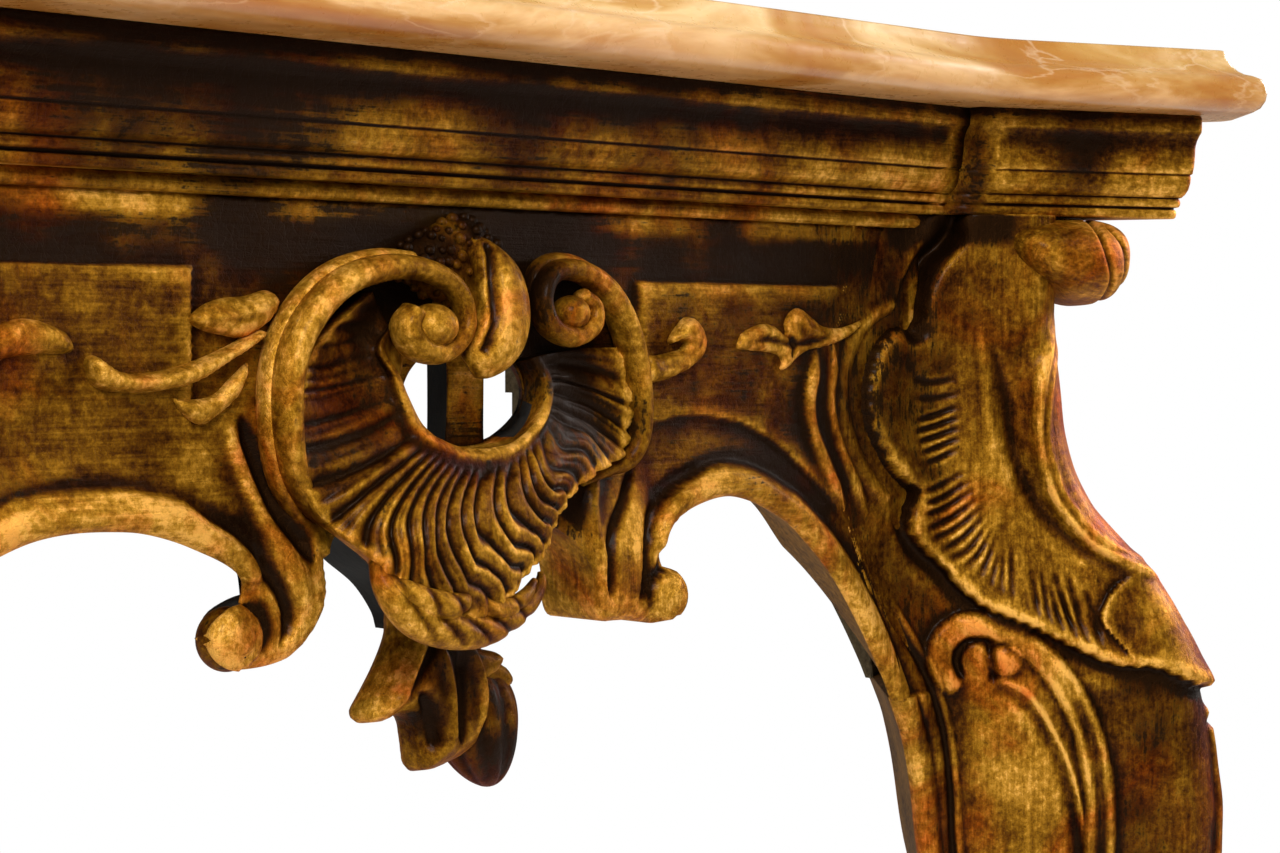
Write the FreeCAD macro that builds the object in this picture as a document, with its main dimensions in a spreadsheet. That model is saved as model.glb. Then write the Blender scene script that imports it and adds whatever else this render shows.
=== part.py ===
"""Wall console table: loose marble top on a carved and gilded two-legged wooden stand.

Millimetres. X to the right, Y to the back (the wall), Z up. The origin is on the floor,
under the middle of the whole table.
"""
import FreeCAD, Part
import math
import os

import Sketcher

SIZES = {
    # the whole table, over the marble's nose
    "table_height": 900, "top_width": 1008.5, "top_depth": 473.5,
    # plan of the front: the corner blocks swing forward of the middle run, then are canted
    "front_setback": 56, "flare_run": 140, "cant_leg": 35.4,
    # marble slab and its moulded edge
    "marble_thick": 34, "nose_out": 10, "nose_height": 20, "cavetto_in": 9, "top_fillet": 4,
    # cornice: moulded rails under the marble
    "cornice_height": 62, "cornice_in": 27, "cornice_fillet": 9, "frieze_band": 22,
    "ovolo_in": 9, "ovolo_height": 10, "step_in": 8, "bead_height": 7.5, "bead_in": 6,
    "corner_ledge": 9,
    # apron boards, with heights given as drops from the cornice
    "apron_in": 54, "apron_thick": 30, "tongue_drop": 184, "tongue_half": 14,
    "gap_half": 35, "gap_drop": 142, "board_end_drop": 244,
    # the arches under the apron
    "arch_drop": 133, "shoulder_drop": 146, "flat_drop": 135, "arch_foot_gap": 21.4,
    # carved brackets that end the arches beside the shell
    "bracket_x": 75, "bracket_drop": 191, "bracket_rise": 55, "volute_x": 120,
    "volute_radius": 13, "foot_radius": 40, "relief": 10, "arch_band": 13,
    # opening behind the shell, parted by a strut
    "hole_half": 36, "hole_rise": 20, "hole_drop": 82, "strut_half": 11,
    # shell and the scrolls round it
    "shell_half": 84, "shell_low": 92, "rim_half": 40, "rim_low": 24, "shell_wall": 12,
    "shell_proud": 34, "lip_proud": 46, "scroll_x": 50, "scroll_reach": 50,
    "scroll_tube": 9, "eye_x": 36, "eye_radius": 18, "crest_half": 10, "crest_height": 40,
    # pendant flower under the shell
    "flower_length": 64, "flower_half": 34, "flower_depth": 24, "bud_radius": 18,
    "bud_length": 55, "bud_x": 25,
    # sprays of leaves on the frieze
    "spray_x": 111, "spray_drop": 64, "spray_thick": 7,
    # legs: profile in the diagonal plane of each corner
    "leg_setback": 145.7, "leg_thick": 92, "leg_tail": 84, "knee_reach": 138.5,
    "taper_from": 85, "ridge_half": 24, "pad_margin": 5,
    # ornament of the legs
    "roll_radius": 22, "roll_gap": 0.3, "roll_overhang": 3, "rocaille_thick": 8,
    "knee_cap_thick": 7, "husk_half": 13, "husk_thick": 9, "panel_thick": 7,
    # hidden framing
    "rail_thick": 25, "rail_height": 128, "wall_hole_radius": 4, "wall_hole_end": 52.516,
    "wall_hole_drop": 110, "bearer_width": 60, "bearer_thick": 22, "bearer_x": 190,
    "block_side": 28, "block_length": 90, "overrun": 5,
}


class Size:
    """A length that carries its value and its formula in the sheet's names."""

    def __init__(self, value, text):
        self.value, self.text = float(value), text

    def __add__(self, other):
        return Size(self.value + number(other), f"({self.text} + {formula(other)})")

    def __radd__(self, other):
        return Size(self.value + number(other), f"({formula(other)} + {self.text})")

    def __sub__(self, other):
        return Size(self.value - number(other), f"({self.text} - {formula(other)})")

    def __rsub__(self, other):
        return Size(number(other) - self.value, f"({formula(other)} - {self.text})")

    def __mul__(self, other):
        return Size(self.value * number(other), f"({self.text} * {formula(other)})")

    __rmul__ = __mul__

    def __truediv__(self, other):
        return Size(self.value / number(other), f"({self.text} / {formula(other)})")

    def __neg__(self):
        return Size(-self.value, f"(-1 * {self.text})")

    def __float__(self):
        return self.value


def number(item):
    return item.value if isinstance(item, Size) else float(item)


def formula(item):
    return item.text if isinstance(item, Size) else f"{float(item):.9f}"


class Sheet:
    """The spreadsheet of driving sizes, each read as an attribute."""

    def __init__(self, document, sizes):
        cells = document.addObject("Spreadsheet::Sheet", "sizes")
        for row, (name, value) in enumerate(sizes.items(), start=1):
            cells.set(f"A{row}", name)
            cells.set(f"B{row}", str(value))
            cells.setAlias(f"B{row}", name)
            setattr(self, name, Size(value, f"sizes.{name}"))


doc = FreeCAD.newDocument("console_table")
s = Sheet(doc, SIZES)
doc.recompute()
V = FreeCAD.Vector
UP = V(0, 0, 1)
nodes = []


def keep(item, name):
    """Name a finished sub-part and put it on the list of pieces to write."""
    item.Label = name
    nodes.append(item)
    return item


def new_body(name):
    return doc.addObject("PartDesign::Body", name + "_body")


def bind(item, prop, size):
    item.setExpression(prop, formula(size))


def draw(body, name, role, corners, lift=0):
    """Closed sketch through the corners on one of the body's own planes.

    A corner is (x, y), or (x, y, radius) where an arc leaves it: a positive radius bulges to
    the left of the way to the next corner, a negative one to the right.
    """
    sketch = body.newObject("Sketcher::SketchObject", name)
    plane = next(f for f in body.Origin.OriginFeatures if f.Role == role)
    sketch.AttachmentSupport = [(plane, "")]
    sketch.MapMode = "FlatFace"
    bind(sketch, ".AttachmentOffset.Base.z", lift)
    spots = [V(number(c[0]), number(c[1]), 0) for c in corners]
    first_end = []
    for i, corner in enumerate(corners):
        a, b = spots[i], spots[(i + 1) % len(spots)]
        if len(corner) == 2:
            sketch.addGeometry(Part.LineSegment(a, b), False)
            first_end.append(1)
            continue
        radius, chord = abs(number(corner[2])), b - a
        left = V(-chord.y, chord.x, 0).normalize()
        side = -1 if number(corner[2]) > 0 else 1
        rise = math.sqrt(max(radius ** 2 - chord.Length ** 2 / 4, 0))
        middle = (a + b) * 0.5 + left * side * rise
        turn = [math.atan2(p.y - middle.y, p.x - middle.x) for p in (a, b)]
        start, end = turn if side == 1 else turn[::-1]
        sketch.addGeometry(Part.ArcOfCircle(Part.Circle(middle, UP, radius), start, end), False)
        first_end.append(1 if side == 1 else 2)
    for i, corner in enumerate(corners):
        after = (i + 1) % len(corners)
        sketch.addConstraint(Sketcher.Constraint(
            "Coincident", i, 3 - first_end[i], after, first_end[after]))
    for i, corner in enumerate(corners):
        for kind, size, axis in (("DistanceX", corner[0], -2), ("DistanceY", corner[1], -1)):
            if abs(number(size)) < 1e-9:
                sketch.addConstraint(Sketcher.Constraint(
                    "PointOnObject", i, first_end[i], axis))
                continue
            at = sketch.addConstraint(Sketcher.Constraint(kind, i, first_end[i], number(size)))
            bind(sketch, f"Constraints[{at}]", size)
        if len(corner) == 3:
            radius = corner[2] if number(corner[2]) > 0 else -1 * corner[2]
            at = sketch.addConstraint(Sketcher.Constraint("Radius", i, number(radius)))
            bind(sketch, f"Constraints[{at}]", radius)
    return sketch


def pad(body, name, role, corners, length, lift=0, back=False):
    """Pad a sketch along its normal, or against it when back is set."""
    sketch = draw(body, name + "_sketch", role, corners, lift)
    feature = body.newObject("PartDesign::Pad", name)
    feature.Profile = sketch
    bind(feature, "Length", length)
    feature.Reversed = back
    return feature


def pocket(body, name, role, corners, length, lift=0, back=False):
    """Cut a sketch out of the body, along the sketch's normal when back is set."""
    sketch = draw(body, name + "_sketch", role, corners, lift)
    feature = body.newObject("PartDesign::Pocket", name)
    feature.Profile = sketch
    bind(feature, "Length", length)
    feature.Reversed = back
    return feature


def drill(body, name, role, centres, radius, length, lift=0):
    """Round holes at the given centres, cut against the sketch's normal."""
    sketch = body.newObject("Sketcher::SketchObject", name + "_sketch")
    plane = next(f for f in body.Origin.OriginFeatures if f.Role == role)
    sketch.AttachmentSupport = [(plane, "")]
    sketch.MapMode = "FlatFace"
    bind(sketch, ".AttachmentOffset.Base.z", lift)
    for i, centre in enumerate(centres):
        middle = V(number(centre[0]), number(centre[1]), 0)
        sketch.addGeometry(Part.Circle(middle, UP, number(radius)), False)
        for kind, size in (("DistanceX", centre[0]), ("DistanceY", centre[1])):
            at = sketch.addConstraint(Sketcher.Constraint(kind, i, 3, number(size)))
            bind(sketch, f"Constraints[{at}]", size)
        at = sketch.addConstraint(Sketcher.Constraint("Radius", i, number(radius)))
        bind(sketch, f"Constraints[{at}]", radius)
    feature = body.newObject("PartDesign::Pocket", name)
    feature.Profile = sketch
    bind(feature, "Length", length)
    return feature


def layered(body, plan, steps):
    """Moulded block: the plan outline at each (inset, height) step, lofted straight between."""
    rings = [draw(body, f"ring_{i}", "XY_Plane", plan(inset), height)
             for i, (inset, height) in enumerate(steps)]
    loft = body.newObject("PartDesign::AdditiveLoft", "moulding")
    loft.Profile = rings[0]
    loft.Sections = rings[1:]
    loft.Ruled = True
    return loft


def mirrored(path):
    """The same corners on the other side of X = 0, walked the other way."""
    turned = []
    for i in range(len(path) - 1, -1, -1):
        x, y = path[i][0], path[i][1]
        radius = path[i - 1][2:]
        turned.append((-1 * x, y) + tuple(radius))
    return turned


def solid(name, shape):
    """A sub-part whose shape is made directly, for the carved forms."""
    item = doc.addObject("Part::Feature", name)
    item.Shape = shape
    return keep(item, name)


def polygon(points):
    return Part.makePolygon([V(*p) for p in points] + [V(*points[0])])


# Plan of the table front, as lines of the marble's lower edge and insets from them
marble_bottom = s.table_height - s.marble_thick
cornice_bottom = marble_bottom - s.cornice_height
block_bottom = cornice_bottom + s.bead_height
back_y = s.top_depth / 2
flare_length = math.hypot(number(s.flare_run), number(s.front_setback))
flare_share = (number(s.front_setback) / flare_length, number(s.flare_run) / flare_length)
HALF_SHARE = math.sqrt(0.5)


def corner_share(first, second):
    """How far a corner between two faces with these inward normals moves per inset."""
    scale = 1 + first[0] * second[0] + first[1] * second[1]
    return ((first[0] + second[0]) / scale, (first[1] + second[1]) / scale)


turn_share = corner_share((0, 1), flare_share)
tip_share = corner_share(flare_share, (-HALF_SHARE, HALF_SHARE))
nose_reach = s.nose_out * tip_share[1]
tip = (s.top_width / 2 - nose_reach - s.cant_leg, nose_reach - s.top_depth / 2)
diagonal = tip[0] + tip[1] + s.cant_leg
front_y = tip[1] + s.front_setback
turn_in = (tip[0] - s.flare_run, front_y)
side_x = diagonal - front_y
FLANK_SHARE = math.sqrt(2)
flank_sum = diagonal - s.leg_thick / 2 * FLANK_SHARE


def turn_at(inset):
    return (turn_in[0] + inset * turn_share[0], turn_in[1] + inset * turn_share[1])


def tip_at(inset):
    return (tip[0] + inset * tip_share[0], tip[1] + inset * tip_share[1])


def across(point):
    """The matching point on the side run, over the corner's diagonal."""
    return (diagonal - point[1], diagonal - point[0])


def front_half(inset):
    """Right half of the outline, from the middle run round the corner to the back."""
    side = across(turn_at(inset))
    return [turn_at(inset), tip_at(inset), across(tip_at(inset)), side, (side[0], back_y)]


def slab_plan(inset):
    right = front_half(inset)
    return right + [(-1 * x, y) for x, y in reversed(right)]


# Marble slab with a bullnose, a cavetto and a top fillet along the front and sides
NOSE_SHARES = [(0, 0), (0.62, 0.14), (0.95, 0.36), (1, 0.58), (0.84, 0.80), (0.35, 1)]
CAVETTO_SHARES = [(0.30, 0.10), (0.62, 0.34), (0.86, 0.66), (1, 1)]


def marble_steps():
    steps = [(-1 * s.nose_out * out, marble_bottom + s.nose_height * up)
             for out, up in NOSE_SHARES]
    low = marble_bottom + s.nose_height
    rise = s.marble_thick - s.nose_height - s.top_fillet
    steps += [(s.cavetto_in * across_by, low + rise * up) for across_by, up in CAVETTO_SHARES]
    return steps + [(s.cavetto_in, s.table_height)]


def make_marble():
    body = new_body("marble_top")
    layered(body, slab_plan, marble_steps())
    keep(body, "marble_top")


make_marble()


# Cornice: a front rail, two side rails and two corner blocks with the same moulding
OVOLO_SHARES = [(0.35, 0.35), (1, 1)]
CORNER_PROFILE_SHARE = 0.75
GROOVE_SHARE, BAND_SHARES = 0.3, (0.6, 0.3)
inner_inset = s.apron_in + s.apron_thick


def cornice_steps():
    """(inset, height) of the moulding from the groove up."""
    under_fillet = marble_bottom - s.cornice_fillet
    band_low = under_fillet - s.frieze_band
    ovolo_low = band_low - s.ovolo_height
    groove = s.cornice_in + s.ovolo_in + s.step_in
    steps = [(groove, block_bottom), (groove, block_bottom + s.bead_height / 2),
             (groove - s.step_in * GROOVE_SHARE, ovolo_low - s.bead_height / 2),
             (s.cornice_in + s.ovolo_in, ovolo_low)]
    steps += [(s.cornice_in + s.ovolo_in - (s.ovolo_in - s.bead_in) * out,
               ovolo_low + s.ovolo_height * up) for out, up in OVOLO_SHARES]
    steps += [(s.cornice_in + s.bead_in * BAND_SHARES[0],
               under_fillet - s.frieze_band * BAND_SHARES[1]),
              (s.cornice_in, under_fillet), (s.cornice_in, marble_bottom)]
    return steps


block_x = turn_in[0] + s.corner_ledge


def front_rail_plan(inset):
    return [(-1 * block_x, front_y + inset), (block_x, front_y + inset),
            (block_x, front_y + inner_inset), (-1 * block_x, front_y + inner_inset)]


def side_rail_plan(sign):
    def plan(inset):
        low_y = diagonal - block_x
        corners = [((side_x - inset) * sign, low_y), ((side_x - inset) * sign, back_y),
                   ((side_x - inner_inset) * sign, back_y),
                   ((side_x - inner_inset) * sign, low_y)]
        return corners if sign > 0 else corners[::-1]
    return plan


def corner_plan(sign):
    def plan(inset):
        near = inset * CORNER_PROFILE_SHARE
        share = (block_x - turn_at(near)[0]) / s.flare_run
        start = (block_x, turn_at(near)[1] - s.front_setback * share)
        inner = (block_x, front_y + inner_inset)
        right = [start, tip_at(near), across(tip_at(near)), across(start), across(inner), inner]
        right = [(x * sign, y) for x, y in right]
        return right if sign > 0 else right[::-1]
    return plan


def make_cornice():
    for name, plan in (("cornice_front", front_rail_plan), ("cornice_right", side_rail_plan(1)),
                       ("cornice_left", side_rail_plan(-1)),
                       ("cornice_corner_right", corner_plan(1)),
                       ("cornice_corner_left", corner_plan(-1))):
        body = new_body(name)
        layered(body, plan, cornice_steps())
        if name == "cornice_front":
            low_bead(body)
        keep(body, name)


def low_bead(body):
    """The lowest bead, only under the middle run, mitred to the flanks of the legs."""
    ends = [front_y + s.cornice_in + s.ovolo_in + s.step_in + s.bead_in,
            front_y + inner_inset]
    right = [(flank_sum - y, y) for y in ends]
    corners = right + [(-1 * x, y) for x, y in reversed(right)]
    pad(body, "low_bead", "XY_Plane", corners, s.bead_height, cornice_bottom)


make_cornice()


# Front apron: one board with an arch each side, a tongue and a parted hole behind the shell
apron_y = front_y + s.apron_in
apron_back = front_y + inner_inset
board_end = flank_sum - apron_y
board_low = cornice_bottom - s.board_end_drop
foot_z = cornice_bottom - s.bracket_drop
volute_z = foot_z + s.volute_radius
arch_z = cornice_bottom - s.arch_drop
hole_z = cornice_bottom - s.hole_drop
span = board_end - s.volute_x
arch_foot = board_end - s.arch_foot_gap
side_start = diagonal - board_end
side_run = back_y - side_start
# Shares of a volute's radius, of the span from volute to leg, and bends as shares of
# an arc's rise and reach together
VOLUTE_SHARES = [(-0.77, -0.64), (1, 0), (0.15, 0.99)]
WALL_SHARE, EAR_SHARES = 1.8, (0.2, 1.2)
ARCH_SHARES = {"arch": 0.2482, "shoulder": 0.4711, "flat": 0.5370}
BEND_SHARES = {"neck": 0.513, "crown": 1.667, "haunch": 0.829, "flat": 3.22, "left": 0.514}
HOLE_BEND_SHARE = 1.15
# shares of the side apron's run from its front end
SIDE_SHARES = {"foot": 0.075, "shoulder": 0.3645, "crown": 0.5179, "level": 0.7829}
SIDE_FOOT_SHARE = 0.5
arch_x = s.volute_x + span * ARCH_SHARES["arch"]


def bend(start, end, name):
    """Radius of an arc from its rise and its reach, always enough for its chord."""
    reach, rise = end[0] - start[0], end[1] - start[1]
    reach = -1 * reach if number(reach) < 0 else reach
    rise = -1 * rise if number(rise) < 0 else rise
    return (reach + rise) * BEND_SHARES[name]


def volute_corners():
    """The three corners of the volute's round, from under the ear to the neck."""
    return [(s.volute_x + s.volute_radius * x, volute_z + s.volute_radius * z)
            for x, z in VOLUTE_SHARES]


def ear_path():
    """Foot of the bracket from its inner wall to the neck of the arch."""
    low, out, top = volute_corners()
    round_in = -1 * s.volute_radius
    return [(s.bracket_x, volute_z + s.volute_radius * WALL_SHARE),
            (s.bracket_x, volute_z, round_in),
            (s.bracket_x + s.volute_radius, foot_z, s.foot_radius), low + (round_in,),
            out + (round_in,), top + (bend(top, (arch_x, arch_z), "neck"),)]


def right_arch():
    return arch_stops("shoulder", s.shoulder_drop, "crown", "haunch")


def left_arch():
    """The flatter arch on the left, drawn on the right side and mirrored later."""
    return arch_stops("flat", s.flat_drop, "flat", "left")


def arch_stops(turn, drop, over, down):
    """Crown, turn and foot of an arch, with the bends of its two arcs."""
    crown, foot = (arch_x, arch_z), (arch_foot, board_low)
    turned = (s.volute_x + span * ARCH_SHARES[turn], cornice_bottom - drop)
    return [crown + (bend(crown, turned, over),), turned + (bend(turned, foot, down),), foot]


def apron_half(arch):
    tongue = [(s.tongue_half, cornice_bottom - s.tongue_drop),
              (s.gap_half, cornice_bottom - s.gap_drop, s.gap_half)]
    return tongue + ear_path() + arch + [(board_end, board_low), (board_end, cornice_bottom)]


def flank_cut(body, name, sign):
    """Trim the end of the front board to the leg's flank."""
    corners = [(flank_sum - y, y) for y in (apron_y - s.overrun, apron_back + s.overrun)]
    corners = [corners[0], (corners[0][0], corners[1][1]), corners[1]]
    pocket(body, name, "XY_Plane", [(x * sign, y) for x, y in corners],
           s.board_end_drop + 2 * s.overrun, cornice_bottom + s.overrun)


def make_front_apron():
    body = new_body("front_apron")
    outline = mirrored(apron_half(left_arch())) + apron_half(right_arch())
    pad(body, "board", "XZ_Plane", outline, s.apron_thick, -1 * apron_back)
    bulge = s.hole_rise * HOLE_BEND_SHARE
    for side, name in ((1, "hole_right"), (-1, "hole_left")):
        inner, outer = s.strut_half * side, s.hole_half * side
        turn = -1 * bulge if side > 0 else bulge
        corners = [(inner, hole_z - s.hole_rise, turn), (outer, hole_z, turn),
                   (inner, hole_z + s.hole_rise)]
        pocket(body, name, "XZ_Plane", corners, s.apron_thick + 2 * s.overrun,
               s.overrun - apron_y)
    flank_cut(body, "end_right", 1)
    flank_cut(body, "end_left", -1)
    return keep(body, "front_apron")


def make_brackets():
    top = volute_corners()[2]
    shoulder = (top[0] + s.relief * EAR_SHARES[0], top[1] + s.volute_radius * EAR_SHARES[1])
    outline = ear_path()[:-1] + [top, shoulder,
                                 (s.volute_x - s.volute_radius, foot_z + s.bracket_rise),
                                 (s.bracket_x + s.relief, foot_z + s.bracket_rise)]
    made = []
    for name, corners in (("bracket_right", outline), ("bracket_left", mirrored(outline))):
        body = new_body(name)
        pad(body, "ear", "XZ_Plane", corners, s.relief, -1 * apron_y)
        made.append(keep(body, name))
    return made


def arc_edge(start, end, radius):
    """Arc in an upright plane from start to end, bulging to the left of the way."""
    a, b = V(number(start[0]), 0, number(start[1])), V(number(end[0]), 0, number(end[1]))
    way = b - a
    left = V(-way.z, 0, way.x).normalize()
    rise = number(radius) - math.sqrt(number(radius) ** 2 - way.Length ** 2 / 4)
    return Part.Arc(a, (a + b) * 0.5 + left * rise, b).toShape()


def make_arch_mouldings(brackets):
    """Raised band that follows each arch from the volute to the leg."""
    neck = volute_corners()[2]
    for name, arch, sign, bracket in (("arch_moulding_right", right_arch(), 1, brackets[0]),
                                      ("arch_moulding_left", left_arch(), -1, brackets[1])):
        stops = [neck + (bend(neck, arch[0], "neck"),)] + arch
        edges = [arc_edge(a[:2], b[:2], a[2]) for a, b in zip(stops, stops[1:])]
        inner = Part.Wire(edges)
        band = inner.makeOffset2D(number(s.arch_band), 0, True, True, False)
        shape = band.extrude(V(0, -number(s.relief), 0))
        shape.translate(V(0, number(apron_y), 0))
        if sign < 0:
            shape = shape.mirror(V(0, 0, 0), V(1, 0, 0))
        solid(name, shape.cut(bracket.Shape))


def make_side_aprons():
    heights = {"foot": board_low, "shoulder": cornice_bottom - s.shoulder_drop,
               "crown": arch_z, "level": arch_z}
    foot, shoulder, crown, level = (
        (side_start + side_run * SIDE_SHARES[name], heights[name]) for name in SIDE_SHARES)
    last = (back_y, foot_z + s.bracket_rise * SIDE_FOOT_SHARE)
    outline = [(side_start, board_low), foot + (bend(foot, shoulder, "haunch"),),
               shoulder + (bend(shoulder, crown, "crown"),), crown,
               level + (bend(level, last, "neck"),), last, (back_y, block_bottom),
               (side_start, block_bottom)]
    outer = diagonal - apron_y
    for name, lift, sign in (("side_apron_right", outer - s.apron_thick, 1),
                             ("side_apron_left", -1 * outer, -1)):
        body = new_body(name)
        pad(body, "board", "YZ_Plane", outline, s.apron_thick, lift)
        near, far = (diagonal + diagonal - flank_sum - x for x in (
            outer + s.overrun, outer - s.apron_thick - s.overrun))
        corners = [(outer + s.overrun, near), (outer - s.apron_thick - s.overrun, near),
                   (outer - s.apron_thick - s.overrun, far)]
        pocket(body, "end", "XY_Plane", [(x * sign, y) for x, y in corners],
               s.board_end_drop + s.bead_height + 2 * s.overrun, block_bottom + s.overrun)
        keep(body, name)


apron = make_front_apron()
brackets = make_brackets()
make_side_aprons()
doc.recompute()
make_arch_mouldings(brackets)


# Hidden framing: back rail with its wall holes, bearers under the marble, glue blocks
inner_x = side_x - inner_inset
rail_front = back_y - s.rail_thick


def make_back_rail():
    body = new_body("back_rail")
    low = marble_bottom - s.rail_height
    corners = [(-1 * inner_x, low), (inner_x, low), (inner_x, marble_bottom),
               (-1 * inner_x, marble_bottom)]
    pad(body, "rail", "XZ_Plane", corners, s.rail_thick, -1 * back_y)
    drill(body, "wall_holes", "XZ_Plane",
          [((inner_x - s.wall_hole_end) * sign, marble_bottom - s.wall_hole_drop)
           for sign in (1, -1)],
          s.wall_hole_radius, s.rail_thick + 2 * s.overrun, s.overrun - rail_front)
    keep(body, "back_rail")


def make_bearers():
    for name, sign in (("bearer_right", 1), ("bearer_left", -1)):
        body = new_body(name)
        near, far = s.bearer_x - s.bearer_width / 2, s.bearer_x + s.bearer_width / 2
        corners = [(near * sign, apron_back), (far * sign, apron_back),
                   (far * sign, rail_front), (near * sign, rail_front)]
        pad(body, "batten", "XY_Plane", corners, s.bearer_thick,
            marble_bottom - s.bearer_thick)
        keep(body, name)


# Places of the front blocks, as shares of the board's half length
BLOCK_SHARES = (0.18, 0.569)


def make_glue_blocks():
    """Rubbed blocks over the joint of apron and cornice, and in the back corners."""
    blocks = []
    half = s.block_length / 2
    for sign in (1, -1):
        for share in BLOCK_SHARES:
            block = doc.addObject("Part::Box", "front_block")
            middle = board_end * sign * share
            bind(block, "Length", s.block_length)
            bind(block, "Width", s.block_side)
            bind(block, "Height", s.block_side)
            bind(block, ".Placement.Base.x", middle - half)
            bind(block, ".Placement.Base.y", apron_back)
            bind(block, ".Placement.Base.z", cornice_bottom - s.block_side / 2)
            blocks.append(block)
        corner = doc.addObject("Part::Box", "back_block")
        reach = inner_x - s.block_side if sign > 0 else -1 * inner_x
        bind(corner, "Length", s.block_side)
        bind(corner, "Width", s.block_side)
        bind(corner, "Height", s.block_length)
        bind(corner, ".Placement.Base.x", reach)
        bind(corner, ".Placement.Base.y", rail_front - s.block_side)
        bind(corner, ".Placement.Base.z", cornice_bottom - s.block_length)
        blocks.append(corner)
    group = doc.addObject("Part::Compound", "glue_block_group")
    group.Links = blocks
    keep(group, "glue_blocks")


make_back_rail()
make_bearers()
make_glue_blocks()


# Cabriole legs, set on the diagonal of each corner. Local X is the reach outwards.
leg_x = (tip[0] + s.cant_leg / 2) - s.leg_setback * HALF_SHARE
leg_y = diagonal - leg_x
half_leg = s.leg_thick / 2
# (share of the leg's height, share of the knee's reach) down the outer ridge and the inner edge
OUTER_SHARES = [(0.926, 0.310), (0.880, 0.343), (0.833, 0.395), (0.803, 0.502), (0.763, 0.718),
                (0.712, 0.878), (0.665, 0.955), (0.611, 1.000), (0.545, 0.960), (0.468, 0.810),
                (0.407, 0.635), (0.345, 0.470), (0.271, 0.318), (0.210, 0.262), (0.148, 0.290),
                (0.099, 0.400), (0.062, 0.560), (0.038, 0.590), (0.015, 0.520)]
INNER_SHARES = [(0.015, 0.220), (0.050, 0.120), (0.099, 0.010), (0.148, -0.060),
                (0.210, -0.072), (0.271, -0.035), (0.345, 0.010), (0.407, 0.000),
                (0.468, -0.058), (0.530, -0.120), (0.588, -0.180), (0.662, -0.255),
                (0.712, -0.340), (0.745, -0.450), (0.775, -0.575)]
# (share of the leg's height, share of half the leg's thickness) seen from the corner
FRONT_SHARES = [(0.015, 0.60), (0.062, 0.62), (0.123, 0.52), (0.210, 0.44), (0.320, 0.46),
                (0.407, 0.57), (0.493, 0.72), (0.575, 0.86), (0.640, 0.95), (0.700, 1.00)]


# (lower and upper share of the leg's height, inner share of the knee's reach)
CAP_SHARES, HUSK_SHARES = (0.672, 0.765, 0.70), (0.575, 0.671, 0.80)
STRAIGHT_SHARE = 0.01


def spots(shares, reach, swell=0.0):
    height = number(block_bottom)
    return [V(number(reach) * out + swell, 0, height * up) for up, out in shares]


def chain(points):
    return Part.makePolygon(points)


def swept_arcs(points):
    """Wire of arcs, each through three points in turn, with a line for what is left over."""
    edges = []
    for i in range(0, len(points) - 1, 2):
        stretch = points[i:i + 3]
        first, last = stretch[1] - stretch[0], stretch[-1] - stretch[0]
        if first.cross(last).Length > STRAIGHT_SHARE * first.Length * last.Length:
            edges.append(Part.Arc(*stretch).toShape())
        else:
            edges += [Part.LineSegment(a, b).toShape() for a, b in zip(stretch, stretch[1:])]
    return Part.Wire(edges)


def faceted(rings):
    """Closed solid of flat facets between rings of points, with flat ends."""
    count = len(rings[0])
    faces = [Part.Face(polygon(rings[0])), Part.Face(polygon(rings[-1]))]
    for low, high in zip(rings, rings[1:]):
        for i in range(count):
            after = (i + 1) % count
            faces.append(Part.Face(polygon([low[i], low[after], high[after]])))
            faces.append(Part.Face(polygon([low[i], high[after], high[i]])))
    made = Part.makeSolid(Part.makeShell(faces))
    return made if made.Volume > 0 else made.reversed()


def leg_core():
    """Side, front and plan profiles of the leg, crossed."""
    top, tail = number(block_bottom), -number(s.leg_tail)
    outer, inner = spots(OUTER_SHARES, s.knee_reach), spots(INNER_SHARES, s.knee_reach)
    post = outer[0].x
    side = Part.Wire([
        chain([V(tail, 0, top), V(post, 0, top), outer[0]]), swept_arcs(outer),
        chain([outer[-1], inner[0]]), swept_arcs(inner), chain([inner[-1], V(tail, 0, top)])])
    width = number(s.leg_thick) + 2 * number(s.overrun)
    plank = Part.Face(side).extrude(V(0, width, 0))
    plank.translate(V(0, -width / 2, 0))
    half = number(half_leg)
    rise = [V(0, half * out, top * up) for up, out in FRONT_SHARES]
    left = [V(0, -p.y, p.z) for p in reversed(rise)]
    front = chain(rise + [V(0, half, top), V(0, -half, top)] + left + [rise[0]])
    reach = number(s.knee_reach) + number(s.leg_tail) + 2 * number(s.overrun)
    slab = Part.Face(front).extrude(V(reach, 0, 0))
    slab.translate(V(tail - number(s.overrun), 0, 0))
    return plank.common(slab).common(plan_taper(0))


def plan_taper(swell):
    """Upright block that narrows towards the ridge of the leg, grown by a swell."""
    half, ridge = number(half_leg) + swell, number(s.ridge_half) + swell
    tail, shoulder = -number(s.leg_tail), number(s.taper_from)
    far = number(s.knee_reach) + number(s.overrun) * 2
    plan = polygon([(tail, -half, 0), (shoulder, -half, 0), (far, -ridge, 0), (far, ridge, 0),
                    (shoulder, half, 0), (tail, half, 0)])
    return Part.Face(plan).extrude(V(0, 0, number(block_bottom)))


def seat(name, shape, sign):
    """Put a piece made in the leg's own frame on its corner of the table."""
    item = solid(name, shape)
    turn = -45 if sign > 0 else -135
    item.Placement = FreeCAD.Placement(V(number(leg_x) * sign, number(leg_y), 0),
                                       FreeCAD.Rotation(UP, turn))
    return item


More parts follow.
